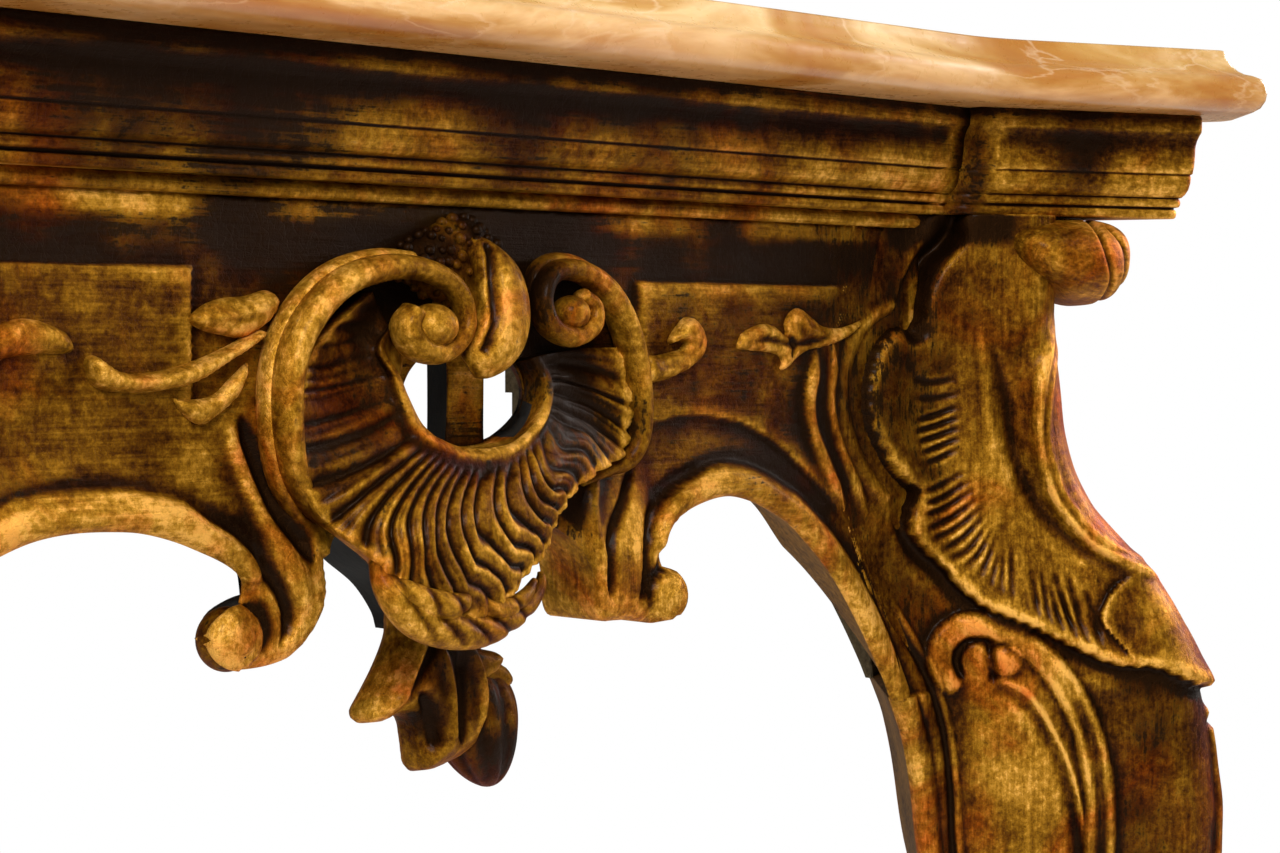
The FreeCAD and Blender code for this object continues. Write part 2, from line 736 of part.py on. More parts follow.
def leg_roll():
    """Rolled volute under the corner block, across the head of the leg."""
    radius = number(s.roll_radius)
    length = number(s.leg_thick) + 2 * number(s.roll_overhang)
    post = number(s.knee_reach) * OUTER_SHARES[0][1]
    middle = V(post + radius + number(s.roll_gap), -length / 2,
               number(block_bottom) - radius - number(s.roll_gap))
    return Part.makeCylinder(radius, length, middle, V(0, 1, 0))


# (share of the leg's height, share of the knee's reach) round each carved panel of a flank
ROCAILLE_SHARES = [(0.968, -0.10), (0.945, -0.19), (0.900, -0.20), (0.850, -0.19),
                   (0.805, -0.18), (0.770, -0.08), (0.752, 0.16), (0.740, 0.50),
                   (0.770, 0.50), (0.800, 0.34), (0.840, 0.24), (0.890, 0.22), (0.940, 0.20),
                   (0.965, 0.10)]
PANEL_SHARES = [(0.735, 0.02), (0.722, 0.26), (0.700, 0.44), (0.660, 0.58), (0.610, 0.64),
                (0.570, 0.62), (0.575, 0.50), (0.630, 0.46), (0.675, 0.32), (0.700, 0.10),
                (0.690, -0.08), (0.715, -0.12)]


def flank_panel(leg, shares, thick, side):
    """Carved panel on one flank: a closed smooth outline, seated on the leg."""
    points = spots(shares, s.knee_reach)
    face = Part.Face(swept_arcs(points + [points[0]]))
    depth = number(thick) + number(half_leg)
    return face.extrude(V(0, depth * side, 0)).cut(leg)


def ridge_piece(leg, shares, half, proud):
    """Cap that wraps the outer ridge of the leg between two heights."""
    low_share, high_share, inner_share = shares
    top, wide = number(block_bottom), number(half)
    outline = spots(OUTER_SHARES, s.knee_reach, number(proud))
    tail = -number(s.leg_tail)
    back = chain([outline[-1], V(tail, 0, outline[-1].z), V(tail, 0, outline[0].z), outline[0]])
    cap = Part.Face(Part.Wire([swept_arcs(outline), back])).extrude(V(0, 2 * wide, 0))
    cap.translate(V(0, -wide, 0))
    start = V(number(s.knee_reach) * inner_share, -wide, top * low_share)
    slot = Part.makeBox(number(s.knee_reach), 2 * wide, top * (high_share - low_share), start)
    return cap.common(slot).common(plan_taper(number(proud))).cut(leg)


def foot_pad():
    """Flat block under the scrolled foot."""
    low = spots([OUTER_SHARES[-1], INNER_SHARES[0]], s.knee_reach)
    margin = number(s.pad_margin)
    near, far = low[1].x - margin, low[0].x + margin
    half = number(half_leg) * FRONT_SHARES[0][1] + margin
    return Part.makeBox(far - near, 2 * half, low[0].z, V(near, -half, 0))


def make_legs():
    leg = leg_core()
    knee_half = number(half_leg) + number(s.knee_cap_thick)
    for side_name, sign in (("right", 1), ("left", -1)):
        seat("leg_" + side_name, leg, sign)
        seat("leg_roll_" + side_name, leg_roll(), sign)
        seat("foot_pad_" + side_name, foot_pad(), sign)
        cap = ridge_piece(leg, CAP_SHARES, knee_half, s.knee_cap_thick)
        seat("knee_cap_" + side_name, cap, sign)
        husks = ridge_piece(leg, HUSK_SHARES, s.husk_half, s.husk_thick)
        seat("husk_drop_" + side_name, husks, sign)
        for flank, side in (("front", -sign), ("side", sign)):
            shell = flank_panel(leg, ROCAILLE_SHARES, s.rocaille_thick, side)
            seat(f"rocaille_{flank}_{side_name}", shell, sign)
            scroll = flank_panel(leg, PANEL_SHARES, s.panel_thick, side).cut(cap)
            seat(f"knee_scroll_{flank}_{side_name}", scroll, sign)


make_legs()


# Open shell on the middle of the apron, between two C-scrolls. Each section row is
# (share from rim to edge, share of the lip's lift, share of the wall, share of the proud)
SHELL_SHARES = [(0.0, 0, 0, 0), (1.0, 1, 0, 0), (1.0, 1, 1, 0), (0.55, 0, 0, 1), (0.0, 0, 0, 0.7)]
SHELL_TURN = 112
SHELL_RIBS = 14
TUBE_SIDES = 8


def shell_section(angle):
    """Closed section of the shell along one rib, as points from the rim outwards."""
    across_by, down_by = math.cos(angle), math.sin(angle)
    low = max(0.0, -down_by) ** 2
    face, wall = number(apron_y), number(s.shell_wall)
    lift = (number(s.lip_proud) - wall) * low
    proud = number(s.shell_proud)
    points = []
    for share, lifted, walled, stood in SHELL_SHARES:
        out = lift * lifted + wall * walled + proud * stood
        x = number(s.rim_half) + (number(s.shell_half) - number(s.rim_half)) * share
        z = number(s.rim_low) + (number(s.shell_low) - number(s.rim_low)) * share
        points.append((x * across_by, face - out, number(hole_z) + z * down_by))
    return points


def make_shell(others):
    """Fan of ribs round the opening, fitted between the scrolls and the crest."""
    angles = [math.radians(-90 - SHELL_TURN + 2 * SHELL_TURN * i / SHELL_RIBS)
              for i in range(SHELL_RIBS + 1)]
    fan = faceted([shell_section(a) for a in angles])
    for other in others:
        fan = fan.cut(other.Shape)
    solid("shell_body", fan)


# Shares of the scroll: where the eye starts and how its radius and tube change
EYE_START_SHARE, EYE_CLOSE_SHARE = 0.5, 1.5
TUBE_SHARES = [(0.55, 0.9), (1.3, -0.6)]
SCROLL_STEPS = 16
TAIL_ANGLE, BIG_TURN, TOP_ANGLE, EYE_TURN = -45, 270, 90, 540


def scroll_stops():
    """(x, z, direction, tube share) along the right scroll, from its tail to its eye."""
    big, small = number(s.scroll_reach), number(s.eye_radius)
    centre = (number(s.scroll_x), number(hole_z))
    eye = (number(s.eye_x), number(hole_z) + big - small)
    stops = []
    for i in range(SCROLL_STEPS + 1):
        share = i / SCROLL_STEPS
        past = share - EYE_START_SHARE
        if past <= 0:
            angle, radius, middle = math.radians(TAIL_ANGLE + BIG_TURN * share), big, centre
        else:
            angle = math.radians(TOP_ANGLE + EYE_TURN * past)
            radius, middle = small * (EYE_CLOSE_SHARE - share), eye
        first, grow = TUBE_SHARES[0 if past < 0 else 1]
        tube = first + grow * share
        stops.append((middle[0] + radius * math.cos(angle), middle[1] + radius * math.sin(angle),
                      angle + math.pi / 2, tube))
    return stops


def tube_ring(stop, side):
    x, z, way, share = stop
    radius = number(s.scroll_tube) * share
    flat = radius * math.cos(math.pi / TUBE_SIDES)
    points = []
    for i in range(TUBE_SIDES):
        turn = 2 * math.pi * (i + 0.5) / TUBE_SIDES
        off = radius * math.sin(turn)
        points.append(((x + off * math.sin(way)) * side,
                       number(apron_y) - flat + radius * math.cos(turn),
                       z - off * math.cos(way)))
    return points


def make_scrolls():
    made = []
    for name, side in (("shell_scroll_right", 1), ("shell_scroll_left", -1)):
        rings = [tube_ring(stop, side) for stop in scroll_stops()]
        made.append(solid(name, faceted(rings)))
    return made


def oval(middle, half_x, half_z, out):
    """Eight-sided ring in the plane at a distance in front of the apron."""
    points = []
    for i in range(TUBE_SIDES):
        turn = 2 * math.pi * (i + 0.5) / TUBE_SIDES
        points.append((middle[0] + half_x * math.cos(turn), number(apron_y) - out,
                       middle[1] + half_z * math.sin(turn)))
    return points


# (share of the boss's width, of its height, and of the shell's proud)
CREST_SHARES = [(1, 1, 0), (1, 1, 0.5), (0.6, 0.7, 0.8)]


def make_crest():
    """Pebbled boss between the scrolls."""
    half, tall = number(s.crest_half), number(s.crest_height) / 2
    middle = (0.0, number(hole_z) + number(s.rim_low) + tall)
    proud = number(s.shell_proud)
    rings = [oval(middle, half * wide, tall * high, proud * out)
             for wide, high, out in CREST_SHARES]
    return solid("shell_crest", faceted(rings))


def level_ring(x, y, z, half_x, half_y):
    points = []
    for i in range(TUBE_SIDES):
        turn = 2 * math.pi * (i + 0.5) / TUBE_SIDES
        points.append((x + half_x * math.cos(turn), y + half_y * math.sin(turn), z))
    return points


# (share of the flower's length down, shift, width and depth as shares of their halves)
FLOWER_SHARES = [(0.0, 0.0, 0.36, 0.7), (0.16, -0.05, 0.6, 0.9), (0.36, -0.2, 0.85, 1.0),
                 (0.52, -0.25, 1.0, 0.95), (0.66, -0.1, 0.7, 0.8), (1.0, 0.1, 0.16, 0.3)]
BUD_SHARES = [(0.0, 0.35), (0.2, 0.8), (0.45, 1.0), (0.75, 0.85), (1.0, 0.3)]
BUD_TOP_SHARE = 0.3


def make_pendant():
    top = number(cornice_bottom) - number(s.tongue_drop)
    middle_y = number(apron_back) - number(s.apron_thick) / 2
    half, deep = number(s.flower_half), number(s.flower_depth)
    rings = [level_ring(half * shift, middle_y, top - number(s.flower_length) * down,
                        half * wide, deep * thick / 2)
             for down, shift, wide, thick in FLOWER_SHARES]
    flower = faceted(rings)
    solid("pendant_flower", flower)
    radius, long = number(s.bud_radius), number(s.bud_length)
    start = top - number(s.flower_length) * BUD_TOP_SHARE
    rings = [level_ring(number(s.bud_x), middle_y, start - long * down, radius * wide,
                        radius * wide) for down, wide in BUD_SHARES]
    solid("pendant_bud", faceted(rings).cut(flower))


# Shares of the span from the sprays' root to the leg: branch lengths, leaf starts and length
BRANCH_SHARES = {"spray_left": 0.407, "spray_right": 0.194}
LEAF_SHARES = {"leaf_spray_right": 0.2955, "leaf_spray_left": 0.499}
LEAF_LONG_SHARE = 0.349
# (share of the branch's length out, of its length down, of its thickness up)
STALK_SHARES = [(0, 0, -2), (0.5, 0.25, 0), (1, 0, -1), (0.96, 0, 0), (0.5, 0.25, 1.6), (0, 0, 0)]
# (share of the leaf's length out, and up)
BLADE_SHARES = [(0, 0), (0.55, -0.2), (1, -0.05), (0.62, 0), (0.9, 0.28)]


def make_sprays():
    """Curled branch each side of the shell, and a leaf spray nearer each leg."""
    root, thick = s.spray_x, s.spray_thick
    wing = board_end - root
    top_z = cornice_bottom - s.spray_drop
    for name, share in BRANCH_SHARES.items():
        reach = wing * share
        spot = [(root + reach * out, top_z - reach * down + thick * up)
                for out, down, up in STALK_SHARES]
        path = [spot[0] + (-1 * reach,), spot[1] + (-1 * reach,), spot[2],
                spot[3] + (reach,), spot[4] + (reach,), spot[5]]
        relief_piece(name, path, thick)
    long = wing * LEAF_LONG_SHARE
    for name, share in LEAF_SHARES.items():
        start = root + wing * share
        spot = [(start + long * out, top_z + long * up) for out, up in BLADE_SHARES]
        path = [spot[0] + (-1 * long,), spot[1] + (-1 * long,), spot[2] + (long,),
                spot[3] + (long,), spot[4] + (long,)]
        relief_piece(name, path, thick)


def relief_piece(name, path, thick):
    body = new_body(name)
    pad(body, "relief", "XZ_Plane", path if name.endswith("right") else mirrored(path), thick,
        -1 * apron_y)
    keep(body, name)


make_shell(make_scrolls() + [make_crest()])
make_pendant()
make_sprays()


doc.recompute()
for item in doc.Objects:
    if "Invalid" in item.State or "Error" in item.State:
        raise RuntimeError(f"{item.Label} failed: {item.State}")
for item in nodes:
    if item.Shape.isNull() or not item.Shape.isValid() or not item.Shape.Solids:
        raise RuntimeError(f"{item.Label} has no valid solid")
os.makedirs("parts", exist_ok=True)
for item in nodes:
    item.Shape.exportStep(f"parts/{item.Label}.step")
print(f"{len(nodes)} sub-parts written")
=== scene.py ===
"""Marble-top console table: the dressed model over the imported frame, in metres."""
import bpy
import math
import numpy as np
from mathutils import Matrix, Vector, geometry


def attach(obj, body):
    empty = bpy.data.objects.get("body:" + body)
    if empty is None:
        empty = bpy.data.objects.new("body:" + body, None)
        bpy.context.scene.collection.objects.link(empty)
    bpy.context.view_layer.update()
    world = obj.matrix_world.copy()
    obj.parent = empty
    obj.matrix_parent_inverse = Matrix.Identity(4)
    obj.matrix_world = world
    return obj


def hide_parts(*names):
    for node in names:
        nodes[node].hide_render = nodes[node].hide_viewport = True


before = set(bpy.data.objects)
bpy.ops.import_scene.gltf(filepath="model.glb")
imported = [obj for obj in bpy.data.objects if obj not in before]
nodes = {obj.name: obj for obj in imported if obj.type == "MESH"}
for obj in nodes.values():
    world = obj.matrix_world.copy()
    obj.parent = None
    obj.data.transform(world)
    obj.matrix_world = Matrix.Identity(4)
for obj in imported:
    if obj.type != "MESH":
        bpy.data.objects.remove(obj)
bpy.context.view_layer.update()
bpy.context.scene.view_settings.view_transform = "Standard"

# Camera: a close view of the right half of the front, along the diagonal of the corner.
# Its place, heading and focal length were solved from the photo's straight mouldings.
eye = bpy.data.cameras.new("close_view")
eye.lens, eye.sensor_width = 73.1, 36.0
eye.clip_start = 0.05
viewer = bpy.data.objects.new("close_view", eye)
viewer.location = (-0.752, -0.966, 0.746)
viewer.rotation_euler = (math.radians(88.1), 0, math.radians(-45.4))
bpy.context.scene.collection.objects.link(viewer)
bpy.context.scene.camera = viewer


# Room: a pale floor that keeps the shadow, one large soft lamp before the table on the
# left, a weaker one on the right, and an even world
def linear(text):
    """sRGB hex text as a linear colour."""
    parts = [int(text[i:i + 2], 16) / 255 for i in (0, 2, 4)]
    return tuple(c / 12.92 if c <= 0.04045 else ((c + 0.055) / 1.055) ** 2.4
                 for c in parts) + (1.0,)


def add(tree, kind, inputs=(), stops=(), **settings):
    """Adds a node with its settings, its values or links, and a ramp's stops.

    A node given as a value stands for its first live output."""
    made = tree.nodes.new(kind)
    for key, value in settings.items():
        setattr(made, key, value)
    for key, value in dict(inputs).items():
        if isinstance(value, bpy.types.Node):
            value = next(socket for socket in value.outputs if socket.enabled)
        if isinstance(value, bpy.types.NodeSocket):
            tree.links.new(value, made.inputs[key])
        else:
            made.inputs[key].default_value = value
    for i, (at, colour) in enumerate(stops):
        points = made.color_ramp.elements
        point = points[i] if i < 2 else points.new(at)
        point.position, point.color = at, colour
    return made


def new_material(name):
    """A material with an empty tree."""
    made = bpy.data.materials.new(name)
    made.use_nodes = True
    made.node_tree.nodes.clear()
    return made, made.node_tree


world = bpy.data.worlds.new("studio")
bpy.context.scene.world = world
world.use_nodes = True
tree = world.node_tree
tree.nodes.clear()
path = add(tree, "ShaderNodeLightPath").outputs
seen = add(tree, "ShaderNodeMath", {0: path["Is Camera Ray"], 1: path["Is Transmission Ray"]},
           operation="MAXIMUM")
even = add(tree, "ShaderNodeBackground", {"Color": linear("fffdf8"), "Strength": 0.27})
white = add(tree, "ShaderNodeBackground", {"Color": linear("ffffff"), "Strength": 1.0})
mixed = add(tree, "ShaderNodeMixShader", {0: seen, 1: even, 2: white})
add(tree, "ShaderNodeOutputWorld", {"Surface": mixed})

for name, spot, size, power in (("key_softbox", (-1.5, -1.9, 2.2), 1.1, 104.0),
                                ("fill_softbox", (2.15, -0.45, 1.45), 0.9, 46.0)):
    lamp = bpy.data.lights.new(name, "AREA")
    lamp.size, lamp.energy = size, power
    holder = bpy.data.objects.new(name, lamp)
    holder.location = spot
    way = Vector((0.15, -0.1, 0.68)) - Vector(spot)
    holder.rotation_euler = way.to_track_quat("-Z", "Y").to_euler()
    bpy.context.scene.collection.objects.link(holder)

# The floor is pale matt paint; away from the table it fades to the white background
floor_paint, tree = new_material("matt_floor_paint")
place = add(tree, "ShaderNodeTexCoord").outputs["Object"]
reach = add(tree, "ShaderNodeVectorMath", {0: place}, operation="LENGTH")
fade = add(tree, "ShaderNodeMapRange", {"Value": reach, "From Min": 0.9, "From Max": 1.9})
matt = add(tree, "ShaderNodeBsdfDiffuse", {"Color": linear("f4f3f1")})
glow = add(tree, "ShaderNodeEmission", {"Color": linear("ffffff"), "Strength": 1.0})
camera_only = add(tree, "ShaderNodeMath", {
    0: fade, 1: add(tree, "ShaderNodeLightPath").outputs["Is Camera Ray"]}, operation="MULTIPLY")
mixed = add(tree, "ShaderNodeMixShader", {0: camera_only, 1: matt, 2: glow})
add(tree, "ShaderNodeOutputMaterial", {"Surface": mixed})
floor_mesh = bpy.data.meshes.new("floor")
floor_mesh.from_pydata([(2 * math.cos(i * math.pi / 24), 2 * math.sin(i * math.pi / 24), 0)
                        for i in range(48)], [], [range(48)])
floor = bpy.data.objects.new("floor", floor_mesh)
floor_mesh.materials.append(floor_paint)
bpy.context.scene.collection.objects.link(floor)


# Marble top: one slab of cream and orange veined marble, its front and sides worked to a
# round nose under a hollow, ground and polished. It lies loose on the stand.
def grid(points):
    """A closed form round rows of points (rows, columns, 3), with a lid at both ends."""
    rows, cols = points.shape[:2]
    index = np.arange(rows * cols).reshape(rows, cols)
    a = np.concatenate([index, index[:, :1]], axis=1)
    faces = np.stack([a[:-1, :-1], a[:-1, 1:], a[1:, 1:], a[1:, :-1]], axis=-1)
    lids = [index[0][::-1].tolist(), index[-1].tolist()]
    return points.reshape(-1, 3), faces.reshape(-1, 4).tolist() + lids


def carve(name, vertices, faces, material, replaced, body="stand", slot="gilded_wood",
          flip=False):
    """A finished piece with smooth shading that stands for its nodes of the frame."""
    mesh = bpy.data.meshes.new(name)
    if flip:
        faces = [list(face)[::-1] for face in faces]
    mesh.from_pydata(np.asarray(vertices).tolist(), [], faces)
    mesh.validate()
    mesh.update()
    mesh.shade_smooth()
    mesh.materials.append(material)
    made = bpy.data.objects.new(name, mesh)
    bpy.context.scene.collection.objects.link(made)
    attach(made, body)
    if replaced:
        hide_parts(*replaced)
    return made


# Polished calcite marble: IOR 1.49, low roughness, a little light spreads under the face
marble, tree = new_material("polished_cream_marble")
place = add(tree, "ShaderNodeTexCoord").outputs["Object"]
turned = add(tree, "ShaderNodeMapping", {
    "Vector": place, "Rotation": (0.25, 0.1, 0.6), "Scale": (4.6, 7.0, 16.0)})
cloud = add(tree, "ShaderNodeTexNoise", {
    "Vector": turned, "Scale": 1.6, "Detail": 6.0, "Roughness": 0.55, "Distortion": 0.7})
tone = add(tree, "ShaderNodeValToRGB", {0: cloud}, [
    (0.30, linear("a4682a")), (0.42, linear("b07832")), (0.50, linear("be904c")),
    (0.60, linear("deba84")), (0.74, linear("b98540"))])
streaks = add(tree, "ShaderNodeMapping", {
    "Vector": place, "Rotation": (0.0, 0.05, 0.3), "Scale": (9.0, 18.0, 150.0)})
bands = add(tree, "ShaderNodeTexNoise", {"Vector": streaks, "Scale": 1.0, "Detail": 4.0})
band_tone = add(tree, "ShaderNodeMapRange", {
    "Value": bands, "From Min": 0.52, "From Max": 0.70, "To Max": 0.35})
base = add(tree, "ShaderNodeMix", {0: band_tone, 6: tone, 7: linear("c08a58")}, data_type="RGBA")
veins = add(tree, "ShaderNodeTexVoronoi", {
    "Vector": add(tree, "ShaderNodeMapping", {"Vector": place, "Scale": (7.0, 11.0, 9.0)}),
    "Scale": 1.0}, feature="DISTANCE_TO_EDGE")
bent = add(tree, "ShaderNodeVectorMath", {
    0: cloud.outputs["Color"], 1: (0.14, 0.14, 0.14), 2: place}, operation="MULTIPLY_ADD")
pale = add(tree, "ShaderNodeTexVoronoi", {"Vector": bent, "Scale": 9.0},
           feature="DISTANCE_TO_EDGE")
pale = add(tree, "ShaderNodeMapRange", {
    "Value": pale, "From Min": 0.0, "From Max": 0.025, "To Min": 0.30, "To Max": 0.0})
base = add(tree, "ShaderNodeMix", {0: pale, 6: base, 7: linear("f0d6b2")}, data_type="RGBA")
thin = add(tree, "ShaderNodeMapRange", {
    "Value": veins, "From Min": 0.0, "From Max": 0.02, "To Min": 0.05, "To Max": 0.0})
base = add(tree, "ShaderNodeMix", {0: thin, 6: base, 7: linear("a85a3a")}, data_type="RGBA")
# painted shade: the marble's colour darkens towards the underside of the moulding, where shade
# falls
low = add(tree, "ShaderNodeSeparateXYZ", {0: place})
low = add(tree, "ShaderNodeMapRange", {
    "Value": low.outputs["Z"], "From Min": 0.870, "From Max": 0.889, "To Min": 0.6, "To Max": 0.0})
base = add(tree, "ShaderNodeMix", {0: low, 6: base, 7: linear("d09a58")},
           data_type="RGBA", blend_type="MULTIPLY")
scuff = add(tree, "ShaderNodeTexNoise", {"Vector": place, "Scale": 160.0, "Detail": 5.0})
rough = add(tree, "ShaderNodeMapRange", {"Value": scuff, "To Min": 0.18, "To Max": 0.42})
dents = add(tree, "ShaderNodeBump", {"Height": scuff, "Strength": 0.12, "Distance": 0.0006})
stone = add(tree, "ShaderNodeBsdfPrincipled", {
    "Base Color": base, "Roughness": rough, "IOR": 1.49, "Subsurface Weight": 0.12,
    "Subsurface Radius": (0.012, 0.007, 0.003), "Subsurface Scale": 0.4, "Normal": dents})
add(tree, "ShaderNodeOutputMaterial", {"Surface": stone})

# Plan of the front right corner: where the middle run turns out, and the canted tip,
# for a line that lies inset from the marble's lower edge
TURN, TIP = np.array((0.3171, -0.1690)), np.array((0.4571, -0.2250))
TURN_STEP, TIP_STEP = np.array((0.1926, 1.0)), np.array((-0.2408, 1.1734))
DIAGONAL, BACK = 0.2675, 0.23675


def over(point):
    """The matching point on the side of the table, over the corner's diagonal."""
    return np.array((DIAGONAL - point[1], DIAGONAL - point[0]))


def eased(before, corner, after, radius, count=5):
    """A corner of the plan, worn round."""
    corner = np.array(corner)
    start = corner + (np.array(before) - corner) * radius / math.dist(before, corner)
    end = corner + (np.array(after) - corner) * radius / math.dist(after, corner)
    t = np.linspace(0, 1, count)[:, None]
    return (1 - t) ** 2 * start + 2 * t * (1 - t) * corner + t ** 2 * end


def slab_edge(inset):
    """Plan line of the whole top at one inset, from back right to back left."""
    turn, tip = TURN + inset * TURN_STEP, TIP + inset * TIP_STEP
    side_turn, side_tip = over(turn), over(tip)
    back = np.array((side_turn[0], BACK))
    middle = np.array((0.0, turn[1]))
    right = np.concatenate([
        [back], eased(back, side_turn, side_tip, 0.022), eased(side_turn, side_tip, tip, 0.004),
        eased(side_tip, tip, turn, 0.004), eased(tip, turn, middle, 0.022)])
    return np.concatenate([right, right[::-1] * (-1, 1)])


NOSE = [
    (-0.0, 0.866), (-0.0035, 0.8666), (-0.0070, 0.8686), (-0.0092, 0.8722), (-0.0100, 0.8765),
    (-0.0094, 0.8806), (-0.0072, 0.8838), (-0.0036, 0.8856), (0.0004, 0.8868), (0.0034, 0.8886),
    (0.0058, 0.8912), (0.0075, 0.8940), (0.0086, 0.8960), (0.0090, 0.8978), (0.0094, 0.8992),
    (0.0106, 0.9000)]
rows = [np.column_stack([slab_edge(inset), np.full(len(slab_edge(inset)), z)])
        for inset, z in NOSE]
vertices, faces = grid(np.array(rows))
top = carve("marble_slab", vertices, faces, marble, ["marble_top"], "top", "marble", flip=True)
top.data.set_sharp_from_angle(angle=math.radians(40))


# Gilding on limewood: leaf over red bole, glazed brown, worn and blackened with age.
# Leaf is half a metal to the eye; the glaze over it is a soft varnish of IOR 1.5.
def gilding(name, streak, upright_streak, light=0.0, soot_and_painted_light=0.0):
    """Aged gilding; its brush marks turn from one way to another by an attribute."""
    made, tree = new_material(name)
    place = add(tree, "ShaderNodeTexCoord").outputs["Object"]
    # Relief stored on the mesh: above 0 on worn edges, below 0 in hollows that hold dirt
    relief = add(tree, "ShaderNodeAttribute", attribute_name="relief").outputs["Fac"]
    # Dark places painted on the mesh: joints, soot, and painted shade under the cornice and in deep
    # recesses; below 0 they are painted light, as the painted highlight on the legs' ridges
    dark = add(tree, "ShaderNodeAttribute", attribute_name="dark").outputs["Fac"]
    # Patches of 40 mm, leaf mottling of 4 mm and grain streaks about 1 mm wide
    patches = add(tree, "ShaderNodeTexNoise", {
        "Vector": place, "Scale": 24.0, "Detail": 7.0, "Roughness": 0.62, "Distortion": 0.4})
    mottle = add(tree, "ShaderNodeTexNoise", {
        "Vector": place, "Scale": 250.0, "Detail": 7.0, "Roughness": 0.78})
    brushed = [add(tree, "ShaderNodeTexNoise", {
        "Vector": add(tree, "ShaderNodeMapping", {"Vector": place, "Scale": way}),
        "Scale": 1.0, "Detail": 5.0, "Roughness": 0.6, "Distortion": 0.3})
        for way in (streak, upright_streak)]
    upright = add(tree, "ShaderNodeAttribute", attribute_name="upright").outputs["Fac"]
    grain = add(tree, "ShaderNodeMix", {0: upright, 2: brushed[0], 3: brushed[1]})
    tone = add(tree, "ShaderNodeMath", {0: patches, 1: mottle})
    for part, share in ((grain, 0.5), (relief, 0.36), (dark, -0.5)):
        tone = add(tree, "ShaderNodeMath", {0: part, 1: share, 2: tone}, operation="MULTIPLY_ADD")
    tone = add(tree, "ShaderNodeMapRange", {
        "Value": tone, "From Min": 0.85 - light, "From Max": 1.69 - light})
    gold = add(tree, "ShaderNodeValToRGB", {0: tone}, [
        (0.02, linear("100601")), (0.20, linear("2b1303")), (0.37, linear("4b2a05")),
        (0.53, linear("69440a")), (0.68, linear("8a5f14")), (0.82, linear("ad7c26")),
        (0.97, linear("dba24a"))])
    # Red bole shows in warm clouds of about 60 mm
    warm = add(tree, "ShaderNodeTexNoise", {
        "Vector": place, "Scale": 15.0, "Detail": 8.0, "Roughness": 0.65, "Distortion": 0.8})
    bole = add(tree, "ShaderNodeMapRange", {
        "Value": warm, "From Min": 0.48, "From Max": 0.66, "To Max": 0.75})
    reddened = add(tree, "ShaderNodeMix", {0: 1.0, 6: gold, 7: linear("e07c40")},
                   data_type="RGBA", blend_type="MULTIPLY")
    leaf = add(tree, "ShaderNodeMix", {0: bole, 6: gold, 7: reddened}, data_type="RGBA")
    # Blackened places: large clouds, hollows and what is painted on the mesh, painted shade
    # included
    burnt = add(tree, "ShaderNodeTexNoise", {
        "Vector": place, "Scale": 11.0, "Detail": 10.0, "Roughness": 0.68, "Distortion": 0.9})
    # their rims break up with the leaf's mottling and the grain
    black = add(tree, "ShaderNodeMath", {0: dark, 1: 0.62}, operation="MULTIPLY")
    for part, share in ((relief, -0.16), (burnt, 1.0), (mottle, 0.6), (grain, 0.6)):
        black = add(tree, "ShaderNodeMath", {0: part, 1: share, 2: black},
                    operation="MULTIPLY_ADD")
    black = add(tree, "ShaderNodeMapRange", {
        "Value": black, "From Min": 1.21 - soot_and_painted_light, "From Max": 1.32 - soot_and_painted_light, "To Max": 0.97})
    coat = add(tree, "ShaderNodeMix", {0: black, 6: leaf, 7: linear("0a0401")}, data_type="RGBA")
    # Craquelure: cells of about 4 mm, cracks drawn a little wide so that they show
    cells = add(tree, "ShaderNodeTexVoronoi", {"Vector": place, "Scale": 230.0},
                feature="DISTANCE_TO_EDGE")
    cracks = add(tree, "ShaderNodeMapRange", {
        "Value": cells, "From Min": 0.0, "From Max": 0.05, "To Min": 0.14, "To Max": 0.0})
    final = add(tree, "ShaderNodeMix", {0: cracks, 6: coat, 7: linear("1c0f06")}, data_type="RGBA")
    shine = add(tree, "ShaderNodeMapRange", {"Value": black, "To Min": 0.5, "To Max": 0.0})
    rough = add(tree, "ShaderNodeMapRange", {
        "Value": mottle, "From Min": 0.3, "From Max": 0.7, "To Min": 0.36, "To Max": 0.58})
    height = add(tree, "ShaderNodeMath", {0: grain, 1: mottle})
    for part, share in ((patches, 2.0), (cracks, -1.2)):
        height = add(tree, "ShaderNodeMath", {0: part, 1: share, 2: height},
                     operation="MULTIPLY_ADD")
    bumps = add(tree, "ShaderNodeBump", {"Height": height, "Strength": 0.55, "Distance": 0.0011})
    wood = add(tree, "ShaderNodeBsdfPrincipled", {
        "Base Color": final, "Metallic": shine, "Roughness": rough, "Specular IOR Level": 0.12,
        "Specular Tint": linear("ffa860"), "Coat Weight": 0.03, "Coat Roughness": 0.2,
        "Normal": bumps})
    add(tree, "ShaderNodeOutputMaterial", {"Surface": wood})
    return made


# Streaks run along the mouldings (X), along the sides (Y) and up the legs (Z)
RUN, SIDE, RISE = (26.0, 430.0, 520.0), (430.0, 26.0, 520.0), (420.0, 420.0, 34.0)
cornice_gilding = gilding("aged_gilding_on_cornice", RUN, RISE, -0.08, 0.04)
side_gilding = gilding("aged_gilding_on_side_mouldings", SIDE, RISE, -0.12, 0.06)
board_gilding = gilding("aged_gilding_on_boards", RUN, RISE, -0.06, 0.06)
carved_gilding = gilding("aged_gilding_on_carving", (300.0, 300.0, 120.0), RISE, -0.10, 0.07)


